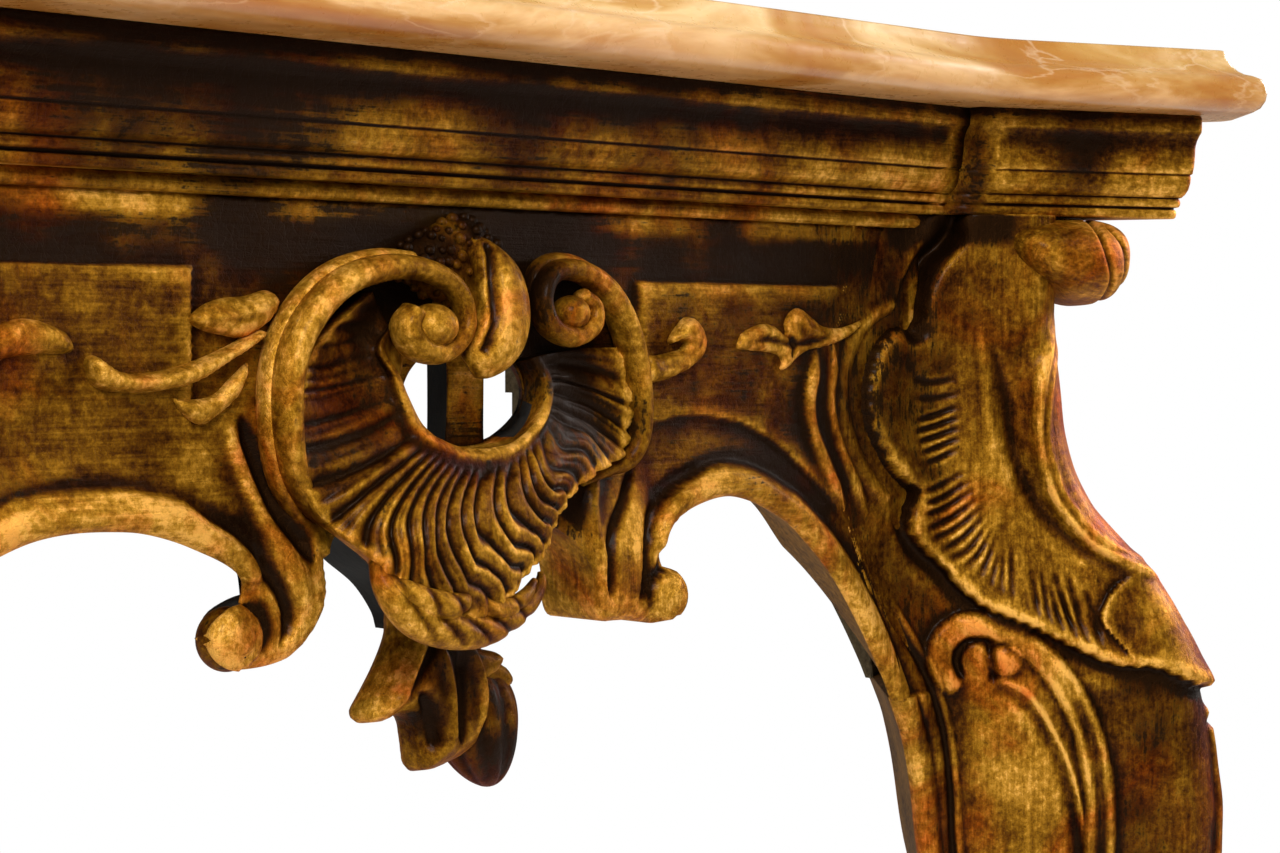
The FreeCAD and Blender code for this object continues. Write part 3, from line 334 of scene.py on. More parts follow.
# Bare limewood behind and under the carving: sawn and planed, never polished, and grey
# with age. Soffits keep a thin rubbed gilding, and the tops are washed with black size.
def bare(name, streak, light, shade):
    """Matt wood between two colours, its grain drawn out along the streak."""
    made, tree = new_material(name)
    place = add(tree, "ShaderNodeTexCoord").outputs["Object"]
    combed = add(tree, "ShaderNodeMapping", {"Vector": place, "Scale": streak})
    grain = add(tree, "ShaderNodeTexNoise", {
        "Vector": combed, "Scale": 1.0, "Detail": 6.0, "Roughness": 0.6, "Distortion": 0.6})
    cloud = add(tree, "ShaderNodeTexNoise", {"Vector": place, "Scale": 17.0, "Detail": 5.0})
    both = add(tree, "ShaderNodeMath", {0: grain, 1: cloud})
    tone = add(tree, "ShaderNodeMapRange", {"Value": both, "From Min": 0.7, "From Max": 1.3})
    colour = add(tree, "ShaderNodeValToRGB", {0: tone},
                 [(0.1, linear(shade)), (0.9, linear(light))])
    bumps = add(tree, "ShaderNodeBump", {"Height": grain, "Strength": 0.4, "Distance": 0.0008})
    face = add(tree, "ShaderNodeBsdfPrincipled", {
        "Base Color": colour, "Roughness": 0.72, "Normal": bumps, "Specular IOR Level": 0.15})
    add(tree, "ShaderNodeOutputMaterial", {"Surface": face})
    return made


bare_wood = bare("bare_aged_limewood", (30.0, 320.0, 320.0), "6e6046", "3a2e1e")
rubbed_gilding = bare("rubbed_gilding_on_soffits", (30.0, 320.0, 320.0), "8a6026", "472c0e")
black_wash = bare("black_size_wash", (60.0, 200.0, 200.0), "1a1611", "0a0806")


# Age of a carved piece: hands and cloths wear the leaf off what stands out, and dirt stays
# in what lies deep. Both are worked out from the piece's own form and stored on its mesh.
def worn(mesh, rounds, scale, dark):
    """Each point's relief over its surroundings, and the dark places painted by hand."""
    count = len(mesh.vertices)
    spots, ways = np.empty(count * 3), np.empty(count * 3)
    mesh.vertices.foreach_get("co", spots)
    mesh.vertices.foreach_get("normal", ways)
    spots, ways = spots.reshape(-1, 3), ways.reshape(-1, 3)
    ends = np.empty(len(mesh.edges) * 2, dtype=np.int32)
    mesh.edges.foreach_get("vertices", ends)
    a, b = ends[::2], ends[1::2]
    ties = np.maximum(np.bincount(a, minlength=count) + np.bincount(b, minlength=count), 1)
    soft = spots.copy()
    for _ in range(rounds):
        total = np.stack([np.bincount(a, soft[b, k], count) + np.bincount(b, soft[a, k], count)
                          for k in range(3)], axis=1)
        soft = 0.4 * soft + 0.6 * total / ties[:, None]
    rise = np.clip(((spots - soft) * ways).sum(axis=1) / scale, -1, 1)
    shade = np.zeros(count)
    for x, y, z, reach, depth in dark or ():
        away = np.sqrt(((spots - (x, y, z)) ** 2).sum(axis=1)) / reach
        shade = np.maximum(shade, depth * np.exp(-away ** 2))
    rise = np.where(rise > 0, rise * (1 - np.clip(shade / 0.3, 0, 1)), rise)
    return rise, shade


def keep(mesh, **values):
    """Stores numbers on the mesh's points for its material to read."""
    for key, numbers in values.items():
        store = mesh.attributes.new(key, "FLOAT", "POINT")
        store.data.foreach_set("value", numbers.astype(np.float32))


def wear(piece, rounds=26, scale=0.0011, dark=None, base=0.0):
    """Wears a carved piece in: rounds and scale set how wide and how deep its form counts."""
    relief, shade = worn(piece.data, rounds, scale, dark)
    keep(piece.data, relief=relief, dark=shade + base)


# Cornice: five limewood rails under the marble, run with a plane and mitred round the
# corner blocks, glued on the aprons and gilded in place. The blocks stand a little proud.
BLOCK_X, FRONT_INNER = 0.3261, 0.084
CORNICE = [
    (44.0, 811.5), (43.1, 812.3), (42.8, 814.0), (43.1, 815.6), (44.2, 816.4), (44.2, 817.2),
    (41.2, 817.6), (40.4, 818.6), (40.2, 820.0), (40.6, 821.4), (41.4, 822.2), (39.4, 822.6),
    (37.2, 824.2), (35.2, 826.8), (34.0, 830.2), (33.6, 833.4), (34.2, 834.4), (32.6, 835.2),
    (31.7, 839.0), (31.2, 844.0), (30.9, 849.5), (30.0, 852.5), (28.4, 855.4), (27.2, 857.0),
    (26.9, 859.0), (26.9, 864.0), (27.4, 865.6), (28.4, 866.0)]
LOW_BEAD = [
    (54.0, 804.0), (51.2, 804.4), (50.2, 806.0), (50.0, 808.0), (50.6, 810.2), (51.6, 811.4)]


def along(start, end, count):
    """Points on a straight line."""
    t = np.linspace(0, 1, count)[:, None]
    return (1 - t) * np.array(start) + t * np.array(end)


def rail(profile, plan):
    """Closed solid with one plan outline for each step of the profile."""
    rows = []
    for inset, z in profile:
        outline = plan(inset / 1000)
        rows.append(np.column_stack([outline, np.full(len(outline), z / 1000)]))
    return grid(np.array(rows))


def front_plan(inset, half=BLOCK_X):
    """The front rail between the blocks, its face planed by hand and a little uneven."""
    y = TURN[1] + inset
    sag = 0.0002 * np.sin(np.linspace(-9, 11, 120))
    face = along((-half, y), (half, y), 120) + np.column_stack([np.zeros(120), sag])
    return np.concatenate([face, along((half, TURN[1] + FRONT_INNER),
                                       (-half, TURN[1] + FRONT_INNER), 2)])


def side_plan(inset):
    """The right side rail from its block to the wall."""
    front, rear = over((BLOCK_X, TURN[1] + inset)), (DIAGONAL - TURN[1] - inset, BACK)
    inner = DIAGONAL - TURN[1] - FRONT_INNER
    return np.concatenate([along(front, rear, 60), [(inner, BACK), (inner, front[1])]])


def corner_plan(inset):
    """The block's own insets are three quarters of the rails', so that it stands proud."""
    turn, tip = TURN + 0.75 * inset * TURN_STEP, TIP + 0.75 * inset * TIP_STEP
    start = turn + (tip - turn) * (BLOCK_X - turn[0]) / (tip[0] - turn[0])
    inner = (BLOCK_X, TURN[1] + FRONT_INNER)
    middle = (tip + over(tip)) / 2
    return np.concatenate([
        along(start, tip, 24)[:-1], eased(start, tip, middle, 0.003),
        eased(middle, over(tip), over(start), 0.003), along(over(tip), over(start), 24)[1:],
        [over(inner), inner]])


# Dark places as (X, Y, Z, reach, depth): the joint beside each block, and along the strip
CREASE_DARK = [
    (x, -0.140, 0.814 + 0.007 * i, 0.012, 0.28) for i in range(8) for x in (-0.3275, 0.3275)]
STRIP_DARK = CREASE_DARK + [
    (-0.20, -0.142, 0.845, 0.060, 0.30), (-0.13, -0.140, 0.850, 0.055, 0.26),
    (0.02, -0.140, 0.850, 0.050, 0.22), (0.10, -0.140, 0.838, 0.035, 0.20)]


def painted_shade_under_marble(vertices):
    """Painted shade: a dark line right under the marble's overhang."""
    return np.clip((vertices[:, 2] - 0.860) / 0.007, 0, 0.5)


vertices, faces = rail(CORNICE, front_plan)
bead_vertices, bead_faces = rail(LOW_BEAD, lambda inset: front_plan(inset, 0.3195))
faces += [[i + len(vertices) for i in face] for face in bead_faces]
vertices = np.concatenate([vertices, bead_vertices])
wear(carve("cornice_front_rail", vertices, faces, cornice_gilding, ["cornice_front"]),
     6, 0.0008, STRIP_DARK, painted_shade_under_marble(vertices))
for side, sign in (("right", 1), ("left", -1)):
    for kind, plan, paint in (("cornice_", side_plan, side_gilding),
                              ("cornice_corner_", corner_plan, cornice_gilding)):
        vertices, faces = rail(CORNICE, plan)
        made = carve(f"{kind}{side}_rail", vertices * (sign, 1, 1), faces, paint,
                     [kind + side], flip=sign < 0)
        wear(made, 6, 0.0008, [(0.385 * sign, -0.17, 0.842, 0.018, 0.35)] + CREASE_DARK,
             painted_shade_under_marble(vertices))


# Front apron: one limewood board, pierced under the marble and sawn to two arches, each
# ending in a rolled volute beside the shell. The arch edges, ears and panels are carved
# from the board's own thickness. Heights below are in millimetres from the board's face.
FACE, BOARD_BACK, BOARD_TOP = -115.0, -85.0, 804
SKIN, ARRIS, BOARD_END = 1.2, 0.8, 286.6
RIGHT_BRACKET = [
    (14, 620), (16.5, 634), (22, 648), (30, 658.5), (40, 663.5), (52, 663), (63, 658), (71, 650),
    (75, 640), (75.5, 630), (77, 622), (81, 617.5), (90, 617), (100, 616.5), (108, 615),
    (114, 613.8), (121, 613.6), (127.5, 616), (131.8, 621), (132.8, 627), (130.8, 633),
    (126.5, 637.5), (122, 640)]
LEFT_BRACKET = [
    (24, 620), (27, 628), (37, 640.5), (52, 651.5), (63, 661), (71, 665.5), (77, 663), (79.5, 655),
    (78.8, 645), (80.5, 636), (84.6, 628.7), (90, 622), (96.7, 617.3), (103, 615), (112, 613.4),
    (122, 613), (132, 614.6), (139, 619), (142, 626), (140, 633), (134, 638), (128, 640),
    (122, 640)]
# Folds of the ears beside the shell: (line, width, height)
EAR_FOLDS_RIGHT = [
    ([(82, 690), (75.5, 674), (74, 659), (76.5, 645), (77, 630), (78, 619)], 3.2, 3.4),
    ([(106, 690), (97, 673), (86, 658), (83, 642), (84, 622)], 2.6, -4.6), ([(159.4, 687.8),
    (130, 678), (114.4, 664.6), (107.8, 651), (106, 635.5), (100, 621)], 2.4, -4.2), ([(143.7, 677),
    (124, 666.5), (116, 651), (113.3, 637)], 3.0, 2.4)]
EAR_FOLDS_LEFT = [
    ([(150, 683), (124, 668), (111, 654), (103, 640), (102, 629), (108, 618)], 2.8, -5.2),
    ([(119.5, 717), (108, 690), (101.4, 673.4), (92, 662), (86, 652)], 4.0, -4.4), ([(128, 717),
    (118, 694), (110, 676), (100, 660), (95, 646), (94, 632)], 4.0, 2.6)]
# For each half: the volute's middle and radius, the line over the arch, its height and
# reach, flutes beside the leg as (line, width, height), the panel's top and its side edges
HALF_RIGHT = (
    (121, 626.5), 12.0,
    [(104, 706), (121, 709), (143, 711.8), (161, 710), (182, 706), (200, 698.5), (219, 687),
     (247, 666), (262, 648)], 2.2, 16,
    [([(233, 744), (231.7, 732), (229, 716), (233, 699), (244, 680), (258, 660)], 4.5, 3.6),
     ([(246, 748), (247, 732), (246, 715), (252, 696), (264, 676), (276, 655)], 4.0, 2.6)],
    (773, 106, 112, 238, 262))
HALF_LEFT = (
    (128.5, 626.5), 13.5,
    [(118.6, 641), (127, 656), (144, 673), (163, 682), (186, 686.8), (208, 687), (234, 683),
     (262, 668)], 1.8, 14, [], (775, 142.5, 144, 250, 270))
RIGHT_ARCH = [
    (122, 640), (120.5, 645), (121.5, 651), (126, 657.5), (134, 663.5), (146, 668), (160, 670.8),
    (172, 670.5), (186, 667), (200, 661), (213, 654), (228, 642.5), (243, 628.5), (258, 611),
    (272, 591.5), (285, 571), (291, 560)]
LEFT_ARCH = [
    (122, 640), (120.5, 646), (123, 651), (130, 656.5), (142, 662), (155, 667), (170, 670.8),
    (185, 672.2), (200, 672.4), (214, 671), (226, 668), (240, 662), (254, 652.5), (268, 637),
    (280, 616), (288, 594), (292, 575), (293, 560)]
HOLE_Z = 722
HOLE = [
    (11, 701), (18, 702.5), (26, 707), (32, 713.5), (35.5, 722), (32.5, 731), (26, 738),
    (18, 742.5), (11, 744)]
# Height of the moulded arch edge by distance into the wood
ARCH_LIP = ((0, 1.2, 4, 8, 11.5, 14, 16.5, 18.5, 20.5, 25, 32, 42),
            (5.0, 7.6, 9.4, 9.6, 8.2, 6.2, 3.6, 1.2, 1.8, 1.4, 0.5, 0.0))


def flow(points, step, closed=False):
    """A smooth line through traced points, with even steps."""
    p = np.array(points, dtype=float)
    p = np.concatenate([p[-1:], p, p[:2]] if closed else
                       [2 * p[:1] - p[1:2], p, 2 * p[-1:] - p[-2:-1]])
    line = []
    for a, b, c, d in zip(p, p[1:], p[2:], p[3:]):
        t = np.linspace(0, 1, 12, endpoint=False)[:, None]
        line.append(0.5 * (2 * b + (c - a) * t + (2 * a - 5 * b + 4 * c - d) * t ** 2
                           + (3 * b - a - 3 * c + d) * t ** 3))
    line = np.concatenate(line + ([] if closed else [p[-2:-1]]))
    if closed:
        line = np.concatenate([line, line[:1]])
    run = np.concatenate([[0], np.cumsum(np.linalg.norm(np.diff(line, axis=0), axis=1))])
    spots = np.linspace(0, run[-1], max(3, int(round(run[-1] / step)) + 1))
    if closed:
        spots = spots[:-1]
    return np.stack([np.interp(spots, run, line[:, k]) for k in range(line.shape[1])], axis=1)


def from_line(x, z, line):
    """Distance from a line, its side (above 0 on the left) and the share along it."""
    best = np.full(np.shape(x), 1e9)
    side, share = np.zeros(np.shape(x)), np.zeros(np.shape(x))
    line = np.asarray(line, dtype=float)
    for i, (a, b) in enumerate(zip(line, line[1:])):
        way = b - a
        t = np.clip(((x - a[0]) * way[0] + (z - a[1]) * way[1]) / max(way @ way, 1e-9), 0, 1)
        gap = np.hypot(x - a[0] - t * way[0], z - a[1] - t * way[1])
        left = np.sign(way[0] * (z - a[1]) - way[1] * (x - a[0]))
        closer = gap < best
        best = np.where(closer, gap, best)
        side = np.where(closer, left, side)
        share = np.where(closer, (i + t) / (len(line) - 1), share)
    return best, side, share


def ramp(value, low, high):
    """0 below low, 1 above high, and a smooth rise between."""
    t = np.clip((value - low) / (high - low), 0, 1)
    return t * t * (3 - 2 * t)


def near(gap, width, power=2):
    """1 at no distance, falling away over the width."""
    return np.exp(-(gap / width) ** power)


def dome(gap, radius):
    """Section of a round form over its radius."""
    return np.sqrt(np.clip(1 - (gap / radius) ** 2, 0, 1))


def faded(share, rate):
    """1 along a line, falling to 0 at both ends."""
    return np.minimum(1, rate * np.minimum(share, 1 - share))


def apart(x, z, points, step=3):
    """Distance from the smooth line through traced points."""
    return from_line(x, z, flow(points, step))[0]


def bead(x, z, line, width, height):
    """A rounded ridge along a line, thinning to its ends."""
    gap, _, share = from_line(x, z, line)
    size = faded(share, 6)
    return height * size * near(gap, width * (0.35 + 0.65 * size))


def uneven(x, z, size, depth):
    """Slight waves left by the gouge."""
    return depth * (np.sin(x / size + 1.3 * np.sin(z / size * 0.7)) * np.sin(z / size * 0.9 + 0.6)
                    + 0.5 * np.sin(x / size * 2.3 + 2.0) * np.sin(z / size * 1.9))


def from_arches(x, z):
    """Distance from the arch of the half that a point lies in."""
    return np.where(x > 0, apart(np.abs(x), z, RIGHT_ARCH), apart(np.abs(x), z, LEFT_ARCH))


def half_relief(x, z, arch, right):
    """Height of one half of the apron, with x counted from the middle outwards."""
    centre, radius, swag, rise, fall, flutes, panel = HALF_RIGHT if right else HALF_LEFT
    lip = np.interp(from_line(x, z, arch)[0], *ARCH_LIP)
    reach = ramp(x, 112, 128)
    height = lip * np.maximum(reach, ramp(z, 640, 652) * ramp(x, 104, 118))
    # the ear: a rounded tongue of wood that runs up beside the shell
    ear = 10 * ramp(x, 60, 78) * (1 - ramp(x, 100, 132)) * (1 - ramp(z, 640, 700))
    bracket = RIGHT_BRACKET if right else LEFT_BRACKET
    round_in = apart(x, z, bracket[6:])
    ear = np.where(z < 658, ear * (0.40 + 0.60 * np.sqrt(np.clip(round_in / 6, 0, 1))), ear)
    height = np.maximum(height, ear)
    # volute at the end of the arch: a ball that the moulded edge runs into
    away = np.hypot(x - centre[0], z - centre[1]) / radius
    ball = 8 + 7.5 * dome(away, 1)
    ball = ball - 1.4 * near(away - 0.55, 0.12) * (x < centre[0])
    for line, width, depth in EAR_FOLDS_RIGHT if right else EAR_FOLDS_LEFT:
        height += bead(x, z, flow(line, 3), width, depth)
    height = np.where(away < 1, np.maximum(height, ball), height)
    gap, side, share = from_line(x, z, flow(swag, 4))
    height += rise * faded(share, 5) * np.where(side > 0, np.exp(-gap / fall), near(gap, 1.2))
    for line, width, depth in flutes:
        height += bead(x, z, flow(line, 4), width, depth)
    panel = ramp(panel[0] - z, -0.8, 0.8) * ramp(x, *panel[1:3]) * (1 - ramp(x, *panel[3:]))
    return height + 2.4 * panel * ramp(z, 700, 735) + uneven(x, z, 13, 0.35)


def apron_relief(x, z):
    """Height of the carving on the whole front, with x from the middle to the right."""
    height = np.where(x > 0, half_relief(x, z, flow(RIGHT_ARCH, 3), True),
                      half_relief(-x, z, flow(LEFT_ARCH, 3), False))
    # the tongue behind the shell swells a little round the pierced hole
    return height + 3.0 * near(np.hypot(x, (z - HOLE_Z) * 1.1), 46, 4)


right_half, left_half = (
    np.concatenate([flow(bracket, 2.4)[:-1], flow(arch, 2.4), along((296, 560), (317.3, 560), 9),
                    along((317.3, 562.4), (317.3, BOARD_TOP), 98)])
    for bracket, arch in ((RIGHT_BRACKET, RIGHT_ARCH), (LEFT_BRACKET, LEFT_ARCH)))
outline = np.concatenate([along((-12, 620), (12, 620), 11), right_half,
                          along((315, BOARD_TOP), (-315, BOARD_TOP), 250),
                          (left_half * (-1, 1))[::-1]])
holes = [flow(HOLE, 2.0, True), flow(HOLE, 2.0, True)[::-1] * (-1, 1)]


def inside(x, z, ring):
    """Which points lie within a closed line."""
    hit = np.zeros(np.shape(x), dtype=bool)
    for (ax, az), (bx, bz) in zip(ring, np.roll(ring, -1, axis=0)):
        crosses = (az > z) != (bz > z)
        at = ax + (z - az) * (bx - ax) / (bz - az if bz != az else 1e-9)
        hit ^= crosses & (x < at)
    return hit


def board_mesh(rings, step, clear=1.3):
    """Even triangles over a flat outline with holes, as (points, triangles, ring starts)."""
    outer = rings[0]
    x, z = np.meshgrid(np.arange(outer[:, 0].min(), outer[:, 0].max(), step),
                       np.arange(outer[:, 1].min(), outer[:, 1].max(), step * 0.87))
    x = x + (np.arange(x.shape[0]) % 2)[:, None] * step / 2
    x, z = x.ravel(), z.ravel()
    keep = inside(x, z, outer)
    for ring in rings[1:]:
        keep &= ~inside(x, z, ring)
    for ring in rings:
        for a in ring:
            keep &= np.hypot(x - a[0], z - a[1]) > clear
    points = np.concatenate(list(rings) + [np.column_stack([x[keep], z[keep]])])
    edges, start, starts = [], 0, []
    for ring in rings:
        count = len(ring)
        edges += [(start + i, start + (i + 1) % count) for i in range(count)]
        starts.append((start, count))
        start += count
    made = geometry.delaunay_2d_cdt([Vector(p) for p in points.tolist()], edges, [], 0, 1e-6)
    points = np.array([tuple(p) for p in made[0]])
    faces = np.array(made[2])
    middle = points[faces].mean(axis=1)
    keep = inside(middle[:, 0], middle[:, 1], outer)
    for ring in rings[1:]:
        keep &= ~inside(middle[:, 0], middle[:, 1], ring)
    faces = faces[keep]
    a, b, c = (points[faces[:, k]] for k in range(3))
    return points, np.where((np.cross(b - a, c - a) > 0)[:, None], faces, faces[:, ::-1]), starts


def boarded(points, triangles, starts):
    """Faces of a board in four layers, their paints (0 front, 1 back) and flat middles."""
    count = len(points)
    x, z = points[:, 0], points[:, 1]
    faces = triangles.tolist() + (triangles[:, ::-1] + 3 * count).tolist()
    skins = [0] * len(triangles) + [1] * len(triangles)
    middles = [points[triangles].mean(axis=1)] * 2
    for start, length in starts:
        ring = list(range(start, start + length))
        area = sum(x[a] * z[b] - x[b] * z[a] for a, b in zip(ring, ring[1:] + ring[:1]))
        if (area > 0) != (start == 0):
            ring = ring[::-1]
        pairs = list(zip(ring, ring[1:] + ring[:1]))
        for level in range(3):
            lift = level * count
            faces += [[a + lift, a + lift + count, b + lift + count, b + lift]
                      for a, b in pairs]
            skins += [0 if level == 0 else 1] * length
            middles.append(np.array([(points[a] + points[b]) / 2 for a, b in pairs]))
    return faces, np.array(skins), np.concatenate(middles)


def from_one_block(vertices, faces, groups, skins, paints, pieces, rounds=26, dark=None,
                   soot_and_painted_light=0.0, upright=None, ways=(1, 1, 1)):
    """Pieces cut from one carved surface, with that surface's own normals and wear.

    groups gives each face's piece and skins its paint, by their places in the lists."""
    whole = bpy.data.meshes.new("whole_carving")
    whole.from_pydata(np.asarray(vertices).tolist(), [], faces)
    whole.update()
    normals = np.empty(len(vertices) * 3)
    whole.vertices.foreach_get("normal", normals)
    normals = normals.reshape(-1, 3)
    relief, shade = worn(whole, rounds, 0.0011, dark)
    # soot, painted shade under the cornice and in recesses, and the painted highlight on the legs'
    # ridges join the painted dark places
    shade = shade + soot_and_painted_light
    upright = np.zeros(len(vertices)) if upright is None else upright
    groups, skins = np.asarray(groups), np.asarray(skins)
    for i, (name, replaced) in enumerate(pieces):
        mine = np.flatnonzero(groups == i)
        corners = np.concatenate([faces[f] for f in mine])
        used, place = np.unique(corners, return_inverse=True)
        cut = np.cumsum([len(faces[f]) for f in mine])[:-1]
        local = [part.tolist() for part in np.split(place, cut)]
        flip = ways[0] < 0
        made = carve(name, np.asarray(vertices)[used] * ways, local, paints[0], replaced,
                     flip=flip)
        for paint in paints[1:]:
            made.data.materials.append(paint)
        made.data.polygons.foreach_set("material_index", skins[mine].astype(np.int32))
        made.data.normals_split_custom_set_from_vertices((normals[used] * ways).tolist())
        keep(made.data, relief=relief[used], dark=shade[used], upright=upright[used])
    bpy.data.meshes.remove(whole)


points, triangles, starts = board_mesh([outline] + holes, 2.2)
x, z = points[:, 0], points[:, 1]
height = apron_relief(x, z)
# the board's ends slope with the flanks of the legs
ends = np.clip(x, -BOARD_END, BOARD_END)
layers = [np.column_stack([x, FACE - height, z]),
          np.column_stack([x, FACE - height + SKIN, z]),
          np.column_stack([ends, np.full(len(x), BOARD_BACK - ARRIS), z]),
          np.column_stack([ends, np.full(len(x), BOARD_BACK), z])]
# behind, the pierced holes open to the right, so that daylight shows through the shell
flare = near(z - HOLE_Z, 42, 4)
shift = np.interp(x, (-140, -36, -11, 9, 11, 35.5, 100, 150), (0, 0, 17, 3, 0, 29, 22, 0))
arch_gap = from_arches(x, z)
slant = np.maximum(near(arch_gap, 16), ramp(np.abs(x), 262, 284))
slant = slant * np.where(x > 0, np.interp(z, (560, 600, 640), (41, 27, 15)),
                         16 * ramp(x, -190, -150))
rise = 8 * near(arch_gap, 16) * ramp(z, 640, 665)
slant += 24 * near(np.hypot(x + 130, z - 624), 24, 4)
for layer in layers[2:]:
    layer[:, 0] += shift * flare + slant
    layer[:, 2] += rise
    layer[:, 2] += 0.35 * (z - HOLE_Z) * near(np.hypot(x, z - HOLE_Z), 58, 4)
faces, skins, middles = boarded(points, triangles, starts)
across, up = middles[:, 0], middles[:, 1]
half = np.abs(across)
# the inner walls beside the pendant are painted black, as the back of the shell is
skins[(skins == 1) & (half < 140) & (up > 612) & (up < 745)
      & ~((across > 76.5) & (up > 640)) & ~((across > 55) & (up < 668))] = 2
walls = np.arange(len(skins)) >= 2 * len(triangles)
skins[walls & (skins == 1) & (across > 55) & (across < 110) & (up < 668)] = 0
gap = from_arches(across, up)
skins[walls & (skins == 1) & (gap < 3)] = 3
ear_face = (half > 73) & (half < 143) & (up < 668) & ~((gap < 13) & (up > 640))
lip_face = (gap < 18.5) & ~ear_face & (half > 117)
groups = np.where(ear_face, 1, np.where(lip_face, 3, 0)) + (across < 0) * (ear_face | lip_face)
# painted shade: the frieze under the cornice and the ground round the shell are painted darkest,
# where shade falls
frieze = (0.13 + 0.11 * ramp(x, 40, 130)) * ramp(z, 770, 786)
frieze += 0.22 * ramp(z, 742, 772) * near(x + 10, 118, 4)
frieze += 0.34 * near(np.hypot(x + 5, (z - 716) * 0.95), 98, 6)
frieze = frieze * (1 - near(x, 13, 4) * ramp(z, 690, 700) * (1 - ramp(z, 745, 752)))
frieze += 0.16 * near(np.hypot(x - 232, z - 775), 30)
frieze += 0.15 * near(arch_gap, 15, 4)
frieze = frieze - 0.15 * ramp(-x, 110, 140) * (1 - ramp(z, 765, 778))
# Painted shade as (X, Y, Z, reach, depth): a band under the cornice, and a deep patch behind the
# shell's fall
APRON_DARK = [
    (0.30, -0.115, 0.795, 0.030, 0.20), (0.16, -0.115, 0.798, 0.020, 0.18),
    (-0.12, -0.117, 0.800, 0.020, 0.22), (-0.25, -0.115, 0.795, 0.030, 0.2),
    (0.05, -0.115, 0.802, 0.030, 0.25), (0.0, -0.120, 0.665, 0.045, 0.45)]
from_one_block(np.concatenate(layers) / 1000, faces, groups, skins,
               [board_gilding, bare_wood, black_wash, rubbed_gilding],
               [("front_apron_board", ["front_apron"])] + [
                   (f"{name}_{side}", [f"{node}_{side}"]) for name, node in (
                       ("arch_volute", "bracket"), ("arch_edge", "arch_moulding"))
                   for side in ("right", "left")], dark=APRON_DARK, soot_and_painted_light=np.tile(frieze, 4),
               upright=np.tile(np.maximum(ramp(np.abs(x), 205, 255), (1 - ramp(z, 650, 690))
                                          * (np.abs(x) < 150)), 4))


# Cabriole legs: each is carved from one limewood baulk, set on the corner's diagonal and
# glued into the aprons. Both flanks carry the same rocaille over a C-scroll panel. The
# lines below are (reach along the diagonal, height) in millimetres.
LEG_X, LEG_Y, HALF_LEG, ROOT = 371.8, -104.3, 46.0, math.sqrt(0.5)
ARCH_FOOT, FOOT_SCROLL, FOOT_RADIUS = 562, (55, 38), 25
RIDGE = [
    (811.5, 43.5), (772, 43.5), (751, 42.9), (714, 47.5), (694, 50), (676, 54.7), (660, 62.5),
    (651.6, 69.5), (636, 84), (619.2, 99.4), (600, 110.5), (577.8, 120), (558, 126.5), (539.6, 130),
    (518, 134), (495.8, 136.5), (470, 136.8), (442.3, 133), (412, 124), (379.8, 112.2), (355, 100),
    (330.3, 87.9), (305, 75.5), (280, 65.1), (250, 53), (219.9, 44), (195, 38.2), (170.4, 36.3),
    (145, 36.8), (120.1, 40.2), (98, 46.5), (80.3, 55.4), (65, 67), (50.3, 77.6), (40, 82),
    (30.8, 81.7), (21, 79), (12.2, 72)]
INNER = [
    (811.5, -84), (642, -84), (628.9, -79.6), (604.6, -62.3), (577.8, -52), (561, -47.5),
    (549, -43), (537.7, -39), (513.5, -34), (476.5, -30), (452, -24.5), (430, -18.6), (400, -11.5),
    (379.8, -8), (350, -2), (330.3, 0), (305, 1.6), (280, 1.4), (250, -1.2), (219.9, -4.8),
    (195, -8.5), (170.4, -10), (145, -9.8), (120.1, -8.3), (98, -4), (80.3, 1.4), (60, 9),
    (40.6, 16.6), (26, 23.5), (12.2, 30.5)]
WIDTH = [
    (811.5, 46), (568, 46), (519.4, 43.7), (466.6, 39.6), (400, 33.1), (330.3, 26.2), (259.7, 21.2),
    (170.4, 20.2), (99.8, 23.9), (50.3, 28.5), (12.2, 27.6)]
CARTOUCHE = [
    (-9, 812), (-16.4, 795.3), (-24.7, 786.6), (-28.4, 775.7), (-31, 765), (-32, 757), (-38, 753.4),
    (-46.9, 752.2), (-55.6, 744.2), (-61, 732.2), (-63.2, 717), (-61, 701.8), (-54.5, 688.7),
    (-47.5, 677.5), (-39.0, 669.5), (-35.7, 665.5), (-39.5, 659.2), (-38.8, 647.2), (-30.5, 636),
    (-19.0, 626.4), (-9.2, 615.5), (6.2, 604.5), (32.6, 593.5), (59.1, 580.5), (75, 575.0),
    (94.3, 573.5), (105.3, 568.3), (118, 562.5), (128, 559.5), (145, 557)]
SCROLL = [
    (-13, 567), (-18.5, 575), (-18.2, 586), (-10, 594.5), (2, 597.0), (17, 593.5), (33, 582),
    (47, 565.5), (58.5, 543), (65.5, 513), (67.5, 476), (64.5, 448), (56, 418), (45, 388),
    (34, 358), (26, 330)]
PANEL = [
    (13, 568.3), (28.4, 559.5), (41.7, 539.8), (52.9, 513.4), (59.7, 476.4), (57.5, 448),
    (49.5, 420), (39, 392), (29, 365), (21, 336)]
EDGE = [
    (-81.6, 647.2), (-68.4, 634.1), (-59.6, 623.2), (-42, 596.9), (-26.6, 570.6), (-17.7, 544.2),
    (-13.2, 513.5), (-10.8, 476.5), (-6, 440), (2, 405), (9, 370), (13, 335)]
SILL = [
    (40.6, 760), (38.5, 745), (34, 727), (32.1, 697.4), (36, 677), (43, 660.5), (58.7, 641),
    (76, 630.5), (94, 622), (106, 611)]
